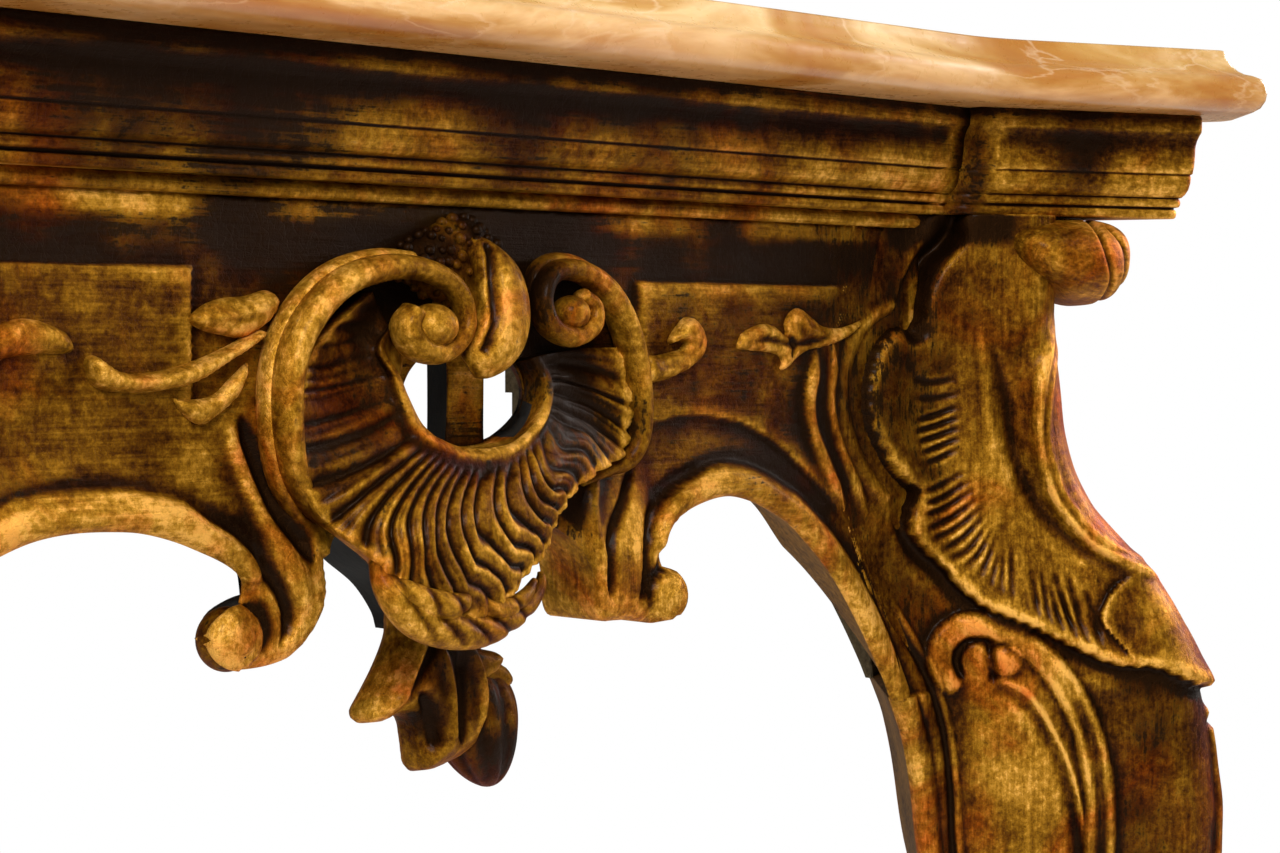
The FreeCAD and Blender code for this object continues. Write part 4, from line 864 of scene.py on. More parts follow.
RIBS = [
    (1.3, (-37, 726), (-24, 724), (-8, 727)), (1.3, (-37, 716), (-22, 716), (-6, 720)),
    (2.2, (-35, 704), (-22, 707), (-9, 712)), (2.4, (-36, 698.5), (-22, 701.5), (-8, 706.5)),
    (2.4, (-35, 693), (-22, 696), (-8, 701)), (2.2, (-33, 687.5), (-21, 690.5), (-8, 696)),
    (1.6, (-31, 682), (-20, 685), (-9, 690)), (1.8, (-36, 667), (-22, 670), (-5, 678)),
    (2.2, (-35, 661), (-19, 664), (-2, 674)), (2.4, (-34, 655), (-17, 659), (0, 669.5)),
    (2.4, (-31, 648), (-14, 653), (2, 665)), (2.4, (-28, 642), (-11, 648), (3.5, 660)),
    (2.2, (-22, 636), (-8, 642.5), (5, 656)), (2.0, (-16, 631), (-4, 637.5), (7, 652)),
    (2.2, (-8, 626), (2, 636), (9, 650)), (2.2, (-1, 621), (6, 632), (11.5, 650)), (2.0, (6, 617),
    (10, 630), (13.5, 651)), (1.8, (12, 613), (13.5, 628), (15.5, 650)), (1.5, (18, 610), (18, 626),
    (17.5, 646)), (1.5, (31, 602), (31, 612), (28.5, 627)), (1.8, (38, 598), (36, 611),
    (33.5, 626)), (2.2, (45, 594), (41, 607), (38, 621)), (2.2, (52, 590), (47.5, 602),
    (43.5, 617)), (1.9, (59, 586), (54, 597), (50, 612)), (1.5, (66, 583), (62, 594), (57.5, 606))]
LOBE = [(86, 626), (80.8, 622), (69.9, 612.1), (65.5, 601.2), (70, 593), (76.6, 586), (83.3, 577)]


def at_height(table, z):
    """Reach at a height, from a table that runs downwards."""
    table = np.array(table)[::-1]
    return np.interp(z, table[:, 0], table[:, 1])


def ease(table, passes=2):
    """Rounds off the corners of a (height, reach) table by cutting them."""
    line = np.array(table, dtype=float)
    for _ in range(passes):
        cut = np.empty((2 * len(line) - 2, 2))
        cut[::2] = 0.75 * line[:-1] + 0.25 * line[1:]
        cut[1::2] = 0.25 * line[:-1] + 0.75 * line[1:]
        line = np.concatenate([line[:1], cut, line[-1:]])
    return line


def flank_carving(s, z, around):
    """Height, and dirt with painted shade and a painted highlight, of the carving on a flank;
    around is the way to the outer ridge.
    """
    border = flow(CARTOUCHE, 2.6)
    length = np.linalg.norm(np.diff(border, axis=0), axis=1).sum()
    gap, side, share = from_line(s, z, border)
    run = share * length
    within = side > 0
    waves = 0.6 * np.sin(2 * np.pi * run / 8.3 + 2.4 * np.sin(run / 15))
    inner = gap + waves * np.exp(-gap / 5) * ramp(790 - z, 0, 25)
    swell = np.interp(inner, (-2, 0, 1.2, 3, 6, 14, 27, 45, 70),
                      (0, 1.5, 6.5, 9.2, 9.0, 6.6, 3.8, 2.4, 2.0))
    # up along the head the border is worn low and dark
    rim = near(gap, 8) * ramp(z, 676, 696)
    swell = swell * (1 - 0.35 * rim)
    groove = np.zeros(np.shape(s))
    for line in RIBS:
        away = from_line(s, z, flow(line[1:], 4))
        ends = np.sin(np.pi * np.clip(away[2], 0.01, 0.99)) ** 0.9
        groove += 0.8 * line[0] * ends * (near(away[0], 1.6) - 0.3 * near(away[0] - 2.8, 1.3))
    outer = -2.6 * near(gap - 2.5, 3.0) + 2.0 * near(gap - 11.5, 4.2)
    outer = outer * np.where(z < 655, 0.35, 1.0) * (1 - ramp(s, 60, 90))
    height = np.where(within, swell - groove, outer)
    dirt_and_painted_light = np.where(within, 0.10 * np.exp(-gap / 4) + 0.03 * np.maximum(groove, 0),
                    0.45 * near(gap - 2, 4.0) * (1 - 0.7 * ramp(s, 0, 40)))
    dirt_and_painted_light += 0.26 * rim * within
    # beside the head a deep trench parts the leg from the apron; it is painted dark, as painted
    # shade
    trench = apart(s, z, [(-13, 800), (-26, 787), (-35, 773), (-37.5, 760), (-36, 751)])
    height -= 7 * near(trench, 5.5)
    dirt_and_painted_light += 0.7 * near(trench, 6.0)
    # the two lobes part in a deep pierced notch, painted dark as painted shade
    notch = near(np.hypot(s + 39.5, (z - 662) * 0.55), 5.0)
    height -= 6.5 * notch
    dirt_and_painted_light += 0.8 * notch
    # hollow between the fan and the outer edge, with the bead along the outer edge
    gap, side, share = from_line(s, z, flow(SILL, 3))
    fade = faded(share, 7)
    hollow = np.where(side > 0, 0.0, near(gap - 11, 9))
    height = height - 3.2 * hollow * fade + 2.9 * fade * near(gap, 2.6)
    height += 1.4 * fade * near(gap - 5.0, 1.6) * (side > 0)
    # deep channel that comes down from the head and turns out over the knee
    height -= bead(s, z, flow([(8, 745), (14, 720), (18, 697), (22, 680), (30, 664), (43, 647),
                               (60, 633), (80, 624)], 3), 4.2, 2.6)
    height += bead(s, z, flow([(2, 757), (4, 725), (7, 700), (10, 680)], 3), 3.0, 0.9)
    # lobe of the knee cap, and the folds beside it
    gap, side, share = from_line(s, z, flow(LOBE, 2.5))
    fade = faded(share, 6)
    height += fade * np.where(side < 0, -1.2 * np.exp(-gap / 7), 1.6 * np.exp(-gap / 16))
    dirt_and_painted_light += 0.10 * ramp(s, 68, 78) * ramp(z, 556, 562) * (1 - ramp(z, 612, 634))
    for a, b in (((40, 628), (53, 592)), ((47, 626), (60, 590)), ((56, 618), (66, 588))):
        height -= bead(s, z, flow([a, ((a[0] + b[0]) / 2 - 1.5, 609), b], 3), 1.7, 1.3)
    # under the cartouche: the C-scroll with its hooked end, and the panel that it frames
    under = np.where(within, 0.0, 1.0)
    gap, _, share = from_line(s, z, flow(SCROLL, 3))
    fade = np.minimum(1, 9 * (1 - share))
    thick = np.interp(share, (0, 0.06, 0.2, 0.45, 1), (6.5, 8.0, 7.5, 8.5, 7.0))
    band = 4.6 * dome(gap, thick)
    dip = 2.3 * near(gap - 1.0, 2.6) * ramp(share, 0.18, 0.4)
    height += under * fade * (band - dip)
    line_gap, line_side, line_share = from_line(s, z, flow(PANEL, 3))
    line_fade = np.minimum(1, 8 * np.minimum(line_share + 0.06, 1 - line_share))
    height += under * line_fade * (
        2.2 * near(line_gap, 1.5) - 1.6 * near(line_gap - 5, 3.5) * (line_side < 0))
    second = np.hypot(s - 16, (z - 578) * 1.1)
    height += under * 4.2 * dome(second, 9.5)
    cleft = apart(s, z, [(-8, 570), (-9.5, 580), (-4, 588), (6, 588), (9, 578), (10, 569)], 2)
    height -= under * 3.0 * near(cleft, 2.0)
    dirt_and_painted_light += under * (0.30 * near(cleft, 2.6) + 0.10 * ramp(s, 72, 92) * ramp(z, 380, 470)
                     - 0.40 * ramp(s, -8, 4) * (1 - ramp(s, 44, 62)))
    # moulded inner edge that comes down from the arch
    gap, side, share = from_line(s, z, flow(EDGE, 3))
    fade = np.minimum(1, 8 * (1 - share))
    height += fade * (-1.9 * near(gap, 1.5) + np.where(
        side < 0, 2.6 * near(gap - 8, 6.5), 1.1 * near(gap - 4, 3.0)))
    height -= 0.8 * near(np.abs(gap - 6.5), 0.9) * (side > 0) * fade
    dirt_and_painted_light += 0.22 * fade * near(gap, 2.4)
    # husks down the ridge: a collar, then flutes
    ridge = np.clip(1 - np.abs(around) / 27, 0, 1)
    drop = ramp(z, 462, 470) * (1 - ramp(z, 538, 541)) * ramp(ridge, 0.0, 0.22)
    flute = np.cos(2 * np.pi * around / 7.2)
    height += drop * (2.2 + 0.9 * flute)
    height += 2.6 * near(z - 547, 3.6) * ramp(ridge, 0, 0.3)
    # foot: a turned scroll on each flank
    s_off, z_off = s - FOOT_SCROLL[0], z - FOOT_SCROLL[1]
    away, turn = np.hypot(s_off, z_off), np.arctan2(z_off, s_off)
    coil = 4 * dome(away, FOOT_RADIUS)
    ring = np.cos((away / 8.5 - turn / (2 * np.pi)) * 2 * np.pi)
    height += (coil - 1.6 * ramp(ring, 0.2, 1) * (away < FOOT_RADIUS - 1)) * (z < 70)
    # painted highlight: the outer edge is painted brighter along the ridge over the knee, where the
    # light catches it
    dirt_and_painted_light -= 0.32 * (1 - ramp(around, 10, 30)) * ramp(z, 590, 640) * (1 - ramp(z, 745, 775))
    dirt_and_painted_light -= 0.20 * within * ramp(s, -30, 0)
    # painted shade: the head is painted darker under the corner block, and on its side towards the
    # apron near the top
    dirt_and_painted_light += 0.65 * ramp(z, 790, 804) * (1 - 0.8 * ramp(s, 4, 26))
    dirt_and_painted_light += 0.12 * ramp(-s, 12, 40) * ramp(z, 755, 790)
    return height + uneven(s, z, 11, 0.32), dirt_and_painted_light


# Where the front of the leg begins beside the apron, as (height, X)
SEAM = [
    (811.5, 262), (790, 258), (760, 250), (744, 242), (732, 231), (716, 228), (700, 231),
    (684, 240), (668, 249), (652, 256), (640, 261), (625, 268), (600, 280), (580, 288), (566, 290),
    (12, 290)]
# Points over half a section, columns of the plain inner side, and how far the apron's face
# lies beside the diagonal
SECTION, INNER_COLUMNS, FACE_OFFSET = 156, 9, 15.13


def leg_section(z, begin):
    """Half of one level of the leg: reach, depth, way round to the ridge, and start."""
    ridge, start = at_height(ease(RIDGE), z), at_height(ease(INNER), z)
    wide = at_height(WIDTH, z)
    joined = ramp(z, 470, 566)
    start = max(start, (begin - LEG_X) * ROOT + 7.565)
    bulge = 26 + 16 * (1 - ramp(z, 480, 600))
    bulge = min(bulge, 0.6 * (ridge - start))
    power = 2 / (2.5 + 0.7 * ramp(z, 560, 640))
    flat = np.linspace(start, ridge - bulge, 120, endpoint=False)
    turn = np.linspace(0, np.pi / 2, 80)
    s = np.concatenate([flat, ridge - bulge + bulge * np.sin(turn) ** power])
    n = np.concatenate([np.full(120, -wide), -wide * np.cos(turn) ** power])
    # the flank runs out into the face of the apron in a hollow
    face = s - FACE_OFFSET
    share = np.clip(0.5 + 0.5 * (n - face) / 20, 0, 1)
    n = n + joined * (n * (1 - share) + face * share - 20 * share * (1 - share) - n)
    run = np.concatenate([[0], np.cumsum(np.hypot(np.diff(s), np.diff(n)))])
    spots = np.linspace(0, run[-1], SECTION)
    s, n = np.interp(spots, run, s), np.interp(spots, run, n)
    return s, n, run[-1] - spots, start


levels = np.concatenate([np.arange(811.5, 570, -1.3), np.arange(570, 462, -1.8),
                         np.arange(461, 13, -3.2), [12.2]])
for side, sign in (("right", 1), ("left", -1)):
    halves, dirt_and_painted_light, reach, around = [], [], [], []
    z = np.repeat(levels[:, None], SECTION, axis=1)
    for is_front in (True, False):
        sections = [leg_section(h, at_height(SEAM, h) if is_front else 289.0) for h in levels]
        s, n, ring = (np.array([part[k] for part in sections]) for k in range(3))
        start = np.array([part[3] for part in sections])[:, None]
        step_s, step_n = np.gradient(s, axis=1), np.gradient(n, axis=1)
        size = np.maximum(np.hypot(step_s, step_n), 1e-9)
        relief, soot_and_painted_light = flank_carving(s, z, ring)
        x = LEG_X + ROOT * (s + n)
        board = half_relief(x, z, flow(RIGHT_ARCH if sign > 0 else LEFT_ARCH, 3),
                            sign > 0) if is_front else 0.0
        low = np.interp(z, (562, 655, 685, 745, 765, 812), (-51, -51, -88, -88, -60, -51))
        meet = np.where(z > ARCH_FOOT, ramp(s, low, low + 14), 1.0)
        sink = np.where(z > ARCH_FOOT, 0.7 * (1 - ramp(s - start, 0, 2.5)), 0.0)
        corner = 1 - np.clip((s - start) / 4.5, 0, 1)
        worn_edge = np.where(z <= 566, 3.0 * (1 - dome(corner, 1)), 0.0)
        lip = np.interp((s - start) * 1.35, *ARCH_LIP) * np.interp(
            z, (300, 520, ARCH_FOOT), (0.30, 0.45, 1.0)) * (z <= ARCH_FOOT)
        lift = board * (1 - meet) + (relief + lip) * meet - sink - worn_edge
        halves.append(np.stack([s + step_n / size * lift, n - step_s / size * lift], axis=-1))
        dirt_and_painted_light.append(soot_and_painted_light * meet)
        around.append(ring)
        reach.append(s)
    front, flank = halves[0], halves[1] * (1, -1)
    tail = np.array([at_height(ease(INNER), h) for h in levels])
    deep = np.abs(front[:, 0, 1]) - 2.0
    deep = deep + (HALF_LEG - deep) * ramp(levels, 570, 650)
    tail = np.where(levels > ARCH_FOOT, np.maximum(tail, front[:, 0, 0] + 3.0), tail)
    inner = np.stack([np.repeat(tail[:, None], INNER_COLUMNS, axis=1),
                      deep[:, None] * np.linspace(1, -1, INNER_COLUMNS)[None]], axis=-1)
    whole = np.concatenate([front, flank[:, -2::-1], inner], axis=1)
    points = np.stack([LEG_X + ROOT * (whole[..., 0] + whole[..., 1]),
                       LEG_Y - ROOT * (whole[..., 0] - whole[..., 1]),
                       np.repeat(levels[:, None], whole.shape[1], axis=1)], axis=-1) / 1000
    vertices, faces = grid(points)
    faces = [face[::-1] for face in faces]
    soot_and_painted_light, reach, ring = (
        np.concatenate([pair[0], pair[1][:, -2::-1],
                        np.full((len(levels), INNER_COLUMNS), fill)], axis=1)
        for pair, fill in ((dirt_and_painted_light, 0.0), (reach, -90.0), (around, 200.0)))
    across = whole.shape[1]
    level_of = np.repeat(np.arange(len(levels) - 1), across)
    column = np.tile(np.arange(across), len(levels) - 1)
    fs, fz, fa = reach[level_of, column], levels[level_of], ring[level_of, column]
    within = from_line(fs, fz, flow(CARTOUCHE, 2.6))[1] > 0
    plain = (column >= 2 * SECTION - 1) & (column < across - 1)
    front_side = column < SECTION
    groups, skins = np.zeros((2, len(faces)), dtype=int)
    knee = within & (fs > 78) & (fz < 622)
    panel = ~within & (fz > 330) & (fs > -9) & (fs < 76) & (fz < 612)
    husk = (fz > 462) & (fz < 552) & (fa < 27)
    kind = np.select([plain, husk, knee, within & front_side, within, panel & front_side,
                      panel], [0, 6, 5, 1, 2, 3, 4], 0)
    groups[:len(kind)] = kind
    skins[:len(kind)] = np.where(plain & (fz < 575), 2, plain)
    from_one_block(vertices, faces, groups, skins, [board_gilding, bare_wood, rubbed_gilding],
                   [(f"{node}_{side}_carved", [f"{node}_{side}"]) for node in (
                       "leg", "rocaille_front", "rocaille_side", "knee_scroll_front",
                       "knee_scroll_side", "knee_cap", "husk_drop")],
                   soot_and_painted_light=soot_and_painted_light.ravel(), upright=ramp(points[..., 0].ravel(), 0.205, 0.255),
                   ways=(sign, 1, 1))


# Shell: carved from its own block of limewood and glued over the pierced board. It fans
# from a round collar, its wings rise inside the scrolls and its front falls to a rolled
# lip. Each line below runs from the collar to the edge, as (X, Y, Z) in millimetres.
SHELL_LINES = [
    [(-47.4, -125, 750.3), (-49.3, -122, 754.5), (-52.8, -121, 760.4), (-59.6, -126, 766.5)],
    [(-55.2, -129, 741.9), (-62.0, -123, 742.8), (-72.9, -122, 743.6), (-88.4, -127, 744.9)],
    [(-50.1, -132, 732.8), (-61.6, -125, 731.1), (-78.8, -124, 729.6), (-98.5, -128, 729.1)],
    [(-47.0, -134, 723.1), (-61.9, -128, 719.5), (-81.5, -126, 715.3), (-101.6, -128, 711.7)],
    [(-42.1, -136, 712.2), (-61.6, -134, 703.5), (-81.2, -132, 695.8), (-98.7, -130, 689.4)],
    [(-37.3, -138, 706.3), (-58.7, -142, 693.3), (-78.1, -141, 681.7), (-90.7, -134, 673.4)],
    [(-32.6, -139, 703.6), (-52.2, -147, 688.3), (-71.6, -149, 672.8), (-84.0, -143, 664.5)],
    [(-27.3, -140, 701.4), (-45.8, -151, 684.0), (-63.2, -156, 666.5), (-75.7, -152, 654.4)],
    [(-21.7, -140, 700.0), (-38.3, -153, 679.6), (-54.5, -159, 658.0), (-70.5, -157, 642.2)],
    [(-15.5, -140, 699.4), (-30.3, -154, 677.2), (-41.8, -160, 652.0), (-56.2, -159, 632.3)],
    [(-8.6, -140, 699.2), (-20.2, -154, 676.8), (-27.3, -160, 651.1), (-37.4, -160, 630.9)],
    [(-1.7, -140, 699.8), (-8.4, -153, 678.3), (-10.8, -158, 654.6), (-18.0, -159, 635.3)],
    [(5.6, -139, 700.9), (4.2, -150, 681.9), (4.1, -155, 662.0), (-5.5, -156, 645.2)],
    [(11.8, -138, 702.8), (15.2, -147, 687.8), (15.8, -152, 671.6), (10.1, -153, 654.7)],
    [(17.4, -137, 705.7), (24.9, -143, 693.9), (27.1, -147, 682.2), (21.7, -147, 665.9)],
    [(23.1, -136, 709.5), (36.0, -137, 700.4), (41.4, -139, 691.4), (38.2, -141, 677.5)],
    [(27.7, -135, 714.6), (44.8, -131, 707.1), (57.4, -132, 700.1), (59.1, -136, 686.3)],
    [(32.0, -133, 719.7), (50.2, -125, 714.9), (68.7, -124, 705.9), (84.0, -128, 693.4)],
    [(34.5, -131, 725.0), (52.4, -122, 722.4), (73.9, -120, 715.2), (92.1, -124, 704.5)],
    [(35.5, -128, 731.1), (52.5, -120, 730.0), (74.3, -118, 726.3), (94.6, -123, 722.3)],
    [(31.9, -126, 737.8), (48.5, -119, 740.2), (70.7, -117, 742.3), (90.7, -121, 742.6)],
]
RIBS_A_LINE, RIB_HEIGHT, SHELL_WALL = 1.4, 3.0, 8.0


def smooth_rows(table, count):
    """Rows of points spread evenly by number over a table, on smooth curves."""
    t = np.asarray(table, dtype=float)
    padded = np.concatenate([2 * t[:1] - t[1:2], t, 2 * t[-1:] - t[-2:-1]])
    at = np.linspace(0, len(t) - 1 - 1e-9, count)
    i, f = at.astype(int), at % 1
    f = f.reshape(-1, *([1] * (t.ndim - 1)))
    a, b, c, d = padded[i], padded[i + 1], padded[i + 2], padded[i + 3]
    return 0.5 * (2 * b + (c - a) * f + (2 * a - 5 * b + 4 * c - d) * f ** 2
                  + (3 * b - a - 3 * c + d) * f ** 3)


def outward(vertices, faces):
    """The same closed form with its faces turned outwards."""
    v = np.asarray(vertices)
    total = 0.0
    for face in faces:
        for j in range(1, len(face) - 1):
            total += np.dot(v[face[0]], np.cross(v[face[j]], v[face[j + 1]]))
    return faces if total > 0 else [list(face)[::-1] for face in faces]


def shut(points):
    """A closed form over rows of points in millimetres, its faces turned outwards."""
    vertices, faces = grid(points / 1000)
    return vertices, outward(vertices, faces)


STATIONS, FALL, SHELL_SEAT = 330, 58, -113.0
surface = smooth_rows(SHELL_LINES, STATIONS)
surface = np.swapaxes(smooth_rows(np.swapaxes(surface, 0, 1), FALL), 0, 1)
along_ribs = np.linspace(0, len(SHELL_LINES) - 1, STATIONS)[:, None]
down = np.linspace(0, 1, FALL)[None]
chance = np.random.default_rng(7)
wander = np.interp(along_ribs, np.arange(42) / 2, chance.uniform(-0.22, 0.22, 42))
bend = 1.7 * np.sin(1.45 * np.pi * down) * ramp(along_ribs, 4, 8) * (1 - ramp(along_ribs, 13, 17))
rib_number = (along_ribs * RIBS_A_LINE + wander + bend
              + 0.22 * np.sin(down * 3.5 + along_ribs * 0.8))
strength = np.interp(rib_number, np.arange(60), chance.uniform(0.45, 1.25, 60))
strength = strength * (0.30 + 0.70 * ramp(along_ribs, 2.2, 4.5))
rib = np.abs(np.sin(np.pi * rib_number)) ** 0.8
edge_rib = 0.30 * np.abs(np.sin(2 * np.pi * rib_number + 0.6)) * ramp(down, 0.25, 0.7)
way = np.cross(np.gradient(surface, axis=0), np.gradient(surface, axis=1))
way = way / np.maximum(np.linalg.norm(way, axis=2, keepdims=True), 1e-9)
way = way * np.sign((way[..., 1:2] < 0) - 0.5)
lift = RIB_HEIGHT * (rib * strength + edge_rib) * ramp(down, 0.08, 0.26)
lift += 3.0 * near(down - 0.05, 0.055)
lift += uneven(surface[..., 0], surface[..., 2], 7, 0.25)
front = surface + way * lift[..., None]
front = front + (front[:, -1:] - front[:, -4:-3]) * (rib[:, -1:] * 0.5)[..., None] * (
    ramp(down, 0.94, 1.0)[..., None])
# the collar's inner wall runs back to the pierced board
rim = surface[:, 0]
centre = np.array((-7.0, 721.5))
spoke = (rim[:, ::2] - centre) / (43, 22)
spoke = spoke / np.linalg.norm(spoke, axis=1, keepdims=True)
pierced = np.column_stack([36 * spoke[:, 0], np.full(STATIONS, SHELL_SEAT),
                           722.5 + 22 * spoke[:, 1]])
wall = [pierced + (rim - pierced) * t + np.array((0, 0, -b)) for t, b in
        ((0.0, 0.0), (0.35, 0.5), (0.7, 0.8), (0.9, 0.4))]
back = surface[:, ::-5] + np.array((0.0, SHELL_WALL, 0.0))
back[:, :, 1] = np.minimum(back[:, :, 1], SHELL_SEAT)
loop = np.concatenate([np.stack(wall, axis=1), front, back], axis=1)
vertices, faces = shut(loop)
columns = loop.shape[1]
skins = np.zeros(len(faces), dtype=int)
skins[:-2] = np.tile(np.arange(columns), STATIONS - 1) >= len(wall) + FALL
# the dark places below are painted shade in the hollows where the shell's wings run in beside the
# scrolls
from_one_block(vertices, faces, np.zeros(len(faces)), skins, [carved_gilding, black_wash],
               [("shell_carved", ["shell_body"])], rounds=22,
               dark=[(0.055, -0.120, 0.722, 0.022, 0.40), (0.048, -0.12, 0.745, 0.02, 0.45),
                     (-0.055, -0.12, 0.755, 0.018, 0.35), (-0.095, -0.125, 0.700, 0.012, 0.2)])


# Scrolls and lip of the shell: rounded mouldings that a carver runs along a curve with
# gouges, thick in the middle and rolled up at the end round a ball. They are limewood like
# the shell, glued round its wings, with the rolled lip under its fall.
def node_group(name, sockets):
    """A geometry node group with its sockets, from (name, kind); the last one is its result."""
    made = bpy.data.node_groups.new(name, "GeometryNodeTree")
    for i, (label, kind) in enumerate(sockets):
        made.interface.new_socket(label, in_out="OUTPUT" if i == len(sockets) - 1 else "INPUT",
                                  socket_type="NodeSocket" + kind)
    return made, add(made, "NodeGroupInput").outputs


def finished(tree, shape, finish, result):
    """Ends a group: its shape made real and given its material."""
    plain = add(tree, "GeometryNodeRealizeInstances", {"Geometry": shape})
    finish = add(tree, "GeometryNodeSetMaterial", {"Geometry": plain, "Material": finish})
    add(tree, "NodeGroupOutput", {result: finish})


sweep, given = node_group("carved_scroll", [("Path", "Geometry"), ("Sides", "Int"),
                                            ("Finish", "Material"), ("Scroll", "Geometry")])
ring = add(sweep, "GeometryNodeCurvePrimitiveCircle", {"Resolution": given["Sides"],
                                                       "Radius": 1.0})
tube = add(sweep, "GeometryNodeCurveToMesh", {
    "Curve": given["Path"], "Profile Curve": ring,
    "Scale": add(sweep, "GeometryNodeInputRadius"), "Fill Caps": True})
finished(sweep, tube, given["Finish"], "Scroll")


def grown(source, tree, inputs):
    """The plain mesh that a node tree makes of an object, as vertices and faces."""
    holder = bpy.data.objects.new("holder", source)
    bpy.context.scene.collection.objects.link(holder)
    change = holder.modifiers.new(tree.name, "NODES")
    change.node_group = tree
    for item in tree.interface.items_tree:
        if item.in_out == "INPUT" and item.name in inputs:
            change[item.identifier] = inputs[item.name]
    seen = holder.evaluated_get(bpy.context.evaluated_depsgraph_get())
    mesh = bpy.data.meshes.new_from_object(seen)
    holder.modifiers.remove(change)
    bpy.data.objects.remove(holder)
    spots = np.empty(len(mesh.vertices) * 3)
    mesh.vertices.foreach_get("co", spots)
    faces = [list(face.vertices) for face in mesh.polygons]
    bpy.data.meshes.remove(mesh)
    return spots.reshape(-1, 3), faces


def swept(points, sides=22, deep=1.0, step=1.4):
    """A moulding along (X, Y, Z, radius) points in millimetres, deeper than wide."""
    line = flow(points, step)
    curve = bpy.data.curves.new("path", "CURVE")
    curve.dimensions = "3D"
    spline = curve.splines.new("POLY")
    spline.points.add(len(line) - 1)
    for point, (x, y, z, radius) in zip(spline.points, line / 1000):
        point.co, point.radius = (x, y, z, 1.0), radius
    vertices, faces = grown(curve, sweep, {"Sides": sides, "Finish": carved_gilding})
    run = np.argmin(((vertices[:, None, ::2] - line[None, :, :3:2] / 1000) ** 2).sum(axis=2),
                    axis=1)
    middle = line[run, 1] / 1000
    vertices[:, 1] = middle + (vertices[:, 1] - middle) * deep
    return vertices, outward(vertices, faces)


def knob(centre, radii, rings=22, turns=36):
    """A worn ball with three radii, in millimetres."""
    up = np.linspace(0.02, np.pi - 0.02, rings)[:, None]
    turn = np.linspace(0, 2 * np.pi, turns, endpoint=False)[None]
    return shut(np.stack([np.sin(up) * np.cos(turn), np.sin(up) * np.sin(turn),
                          np.cos(up) + 0 * turn], axis=-1) * radii + centre)


def joined(forms):
    """Several forms as one."""
    vertices, faces = [], []
    for points, cells in forms:
        faces += [[i + sum(map(len, vertices)) for i in cell] for cell in cells]
        vertices.append(points)
    return np.concatenate(vertices), faces


def gouged(form, cuts):
    """The form with grooves cut into its front: (line, width, depth)."""
    vertices, faces = form
    x, z = vertices[:, 0] * 1000, vertices[:, 2] * 1000
    for line, width, depth in cuts:
        gap = apart(x, z, line, 2)
        vertices[:, 1] += depth / 1000 * near(gap, width)
    return vertices, faces


def ornament(name, form, replaced, rounds=14, scale=0.0011, dark=None):
    """A gilded carving of the stand, worn in."""
    wear(carve(name, *form, carved_gilding, replaced), rounds, scale, dark)


LEFT_SCROLL = [
    (-74, -118, 667, 1.4), (-82, -121, 672, 2.8), (-92, -124, 680.5, 4.4), (-100, -125, 692.7, 5.4),
    (-104, -126, 709.5, 6.0), (-104, -126, 729.6, 6.3), (-98.8, -126, 746.8, 6.5),
    (-87.5, -127, 761.7, 6.5), (-72.9, -128, 771.5, 6.2), (-54, -129, 776.3, 5.7),
    (-36.5, -130, 776.1, 5.0), (-21.8, -131, 771.1, 4.5), (-14.5, -132, 762, 4.3),
    (-14.5, -133, 751.5, 4.4), (-21, -133, 744, 4.8), (-31, -133, 741, 5.4), (-42, -133, 744, 6.0),
    (-47, -133, 752, 5.6), (-43, -134, 759, 4.6)]
RIGHT_SCROLL = [
    (70, -118, 681, 1.6), (82, -121, 687, 3.6), (94, -123, 692, 4.9), (100, -124, 706, 5.6),
    (98.8, -124, 730, 5.8), (91, -125, 751.5, 5.8), (79, -126, 767, 5.6), (64.5, -127, 775.5, 5.2),
    (49, -128, 777.5, 4.8), (38, -129, 773, 4.5), (33.5, -130, 763, 4.5), (38.5, -130, 752.5, 4.8),
    (51, -130, 748, 5.2), (62.5, -130, 752.5, 5.2), (64.5, -130, 761, 4.4), (58, -130, 766.5, 3.4)]
# Dark places as (X, Y, Z, reach, depth) in metres
SCROLL_DARK = [(0.03, -0.130, 0.770, 0.02, 0.25), (0.1, -0.118, 0.70, 0.02, 0.2)]
for side, path, mid, eye_at, radii in (
        ("left", LEFT_SCROLL, -50, (-33.0, -134, 752.0), (11.5, 11, 9.5)),
        ("right", RIGHT_SCROLL, 60, (51.5, -130, 758.0), (9.0, 9, 8.0))):
    outside = [(x * 1.01 + (x - mid) * 0.055, y + 6.5, HOLE_Z + (z - HOLE_Z) * 1.085, r * 0.62)
               for x, y, z, r in path[1:11]]
    ornament(f"shell_scroll_{side}_carved", joined([
        swept(path, 26, 1.5), swept(outside, 18, 1.6), knob(eye_at, radii)]),
        [f"shell_scroll_{side}"], dark=SCROLL_DARK)

# the rolled lip under the shell's fall, with the curl that turns over it
LIP = [
    (-76, -148, 657, 3.0), (-76, -153, 648, 5.2), (-71, -156, 639.5, 7.0),
    (-60.6, -157, 631.5, 8.2), (-44.4, -157, 626.5, 8.4), (-26, -156, 625.0, 7.8),
    (-9, -154, 628.0, 6.2), (4, -152, 632.5, 4.6), (12, -150, 637.5, 3.4), (15.5, -149, 642.5, 2.4),
    (16, -148, 646, 1.2)]
CURL = [
    (-77, -152, 652, 2.4), (-71, -158, 645.5, 4.4), (-61, -161.5, 640.0, 5.6),
    (-50, -163, 637.0, 5.8), (-42, -162, 637.5, 4.6), (-37, -160, 640, 2.4)]
FOLD = [
    (-30, -158, 641, 1.8), (-24, -160, 634, 3.6), (-12, -159, 633.5, 4.0), (0, -156, 637.5, 3.2),
    (8, -153, 643, 1.6)]
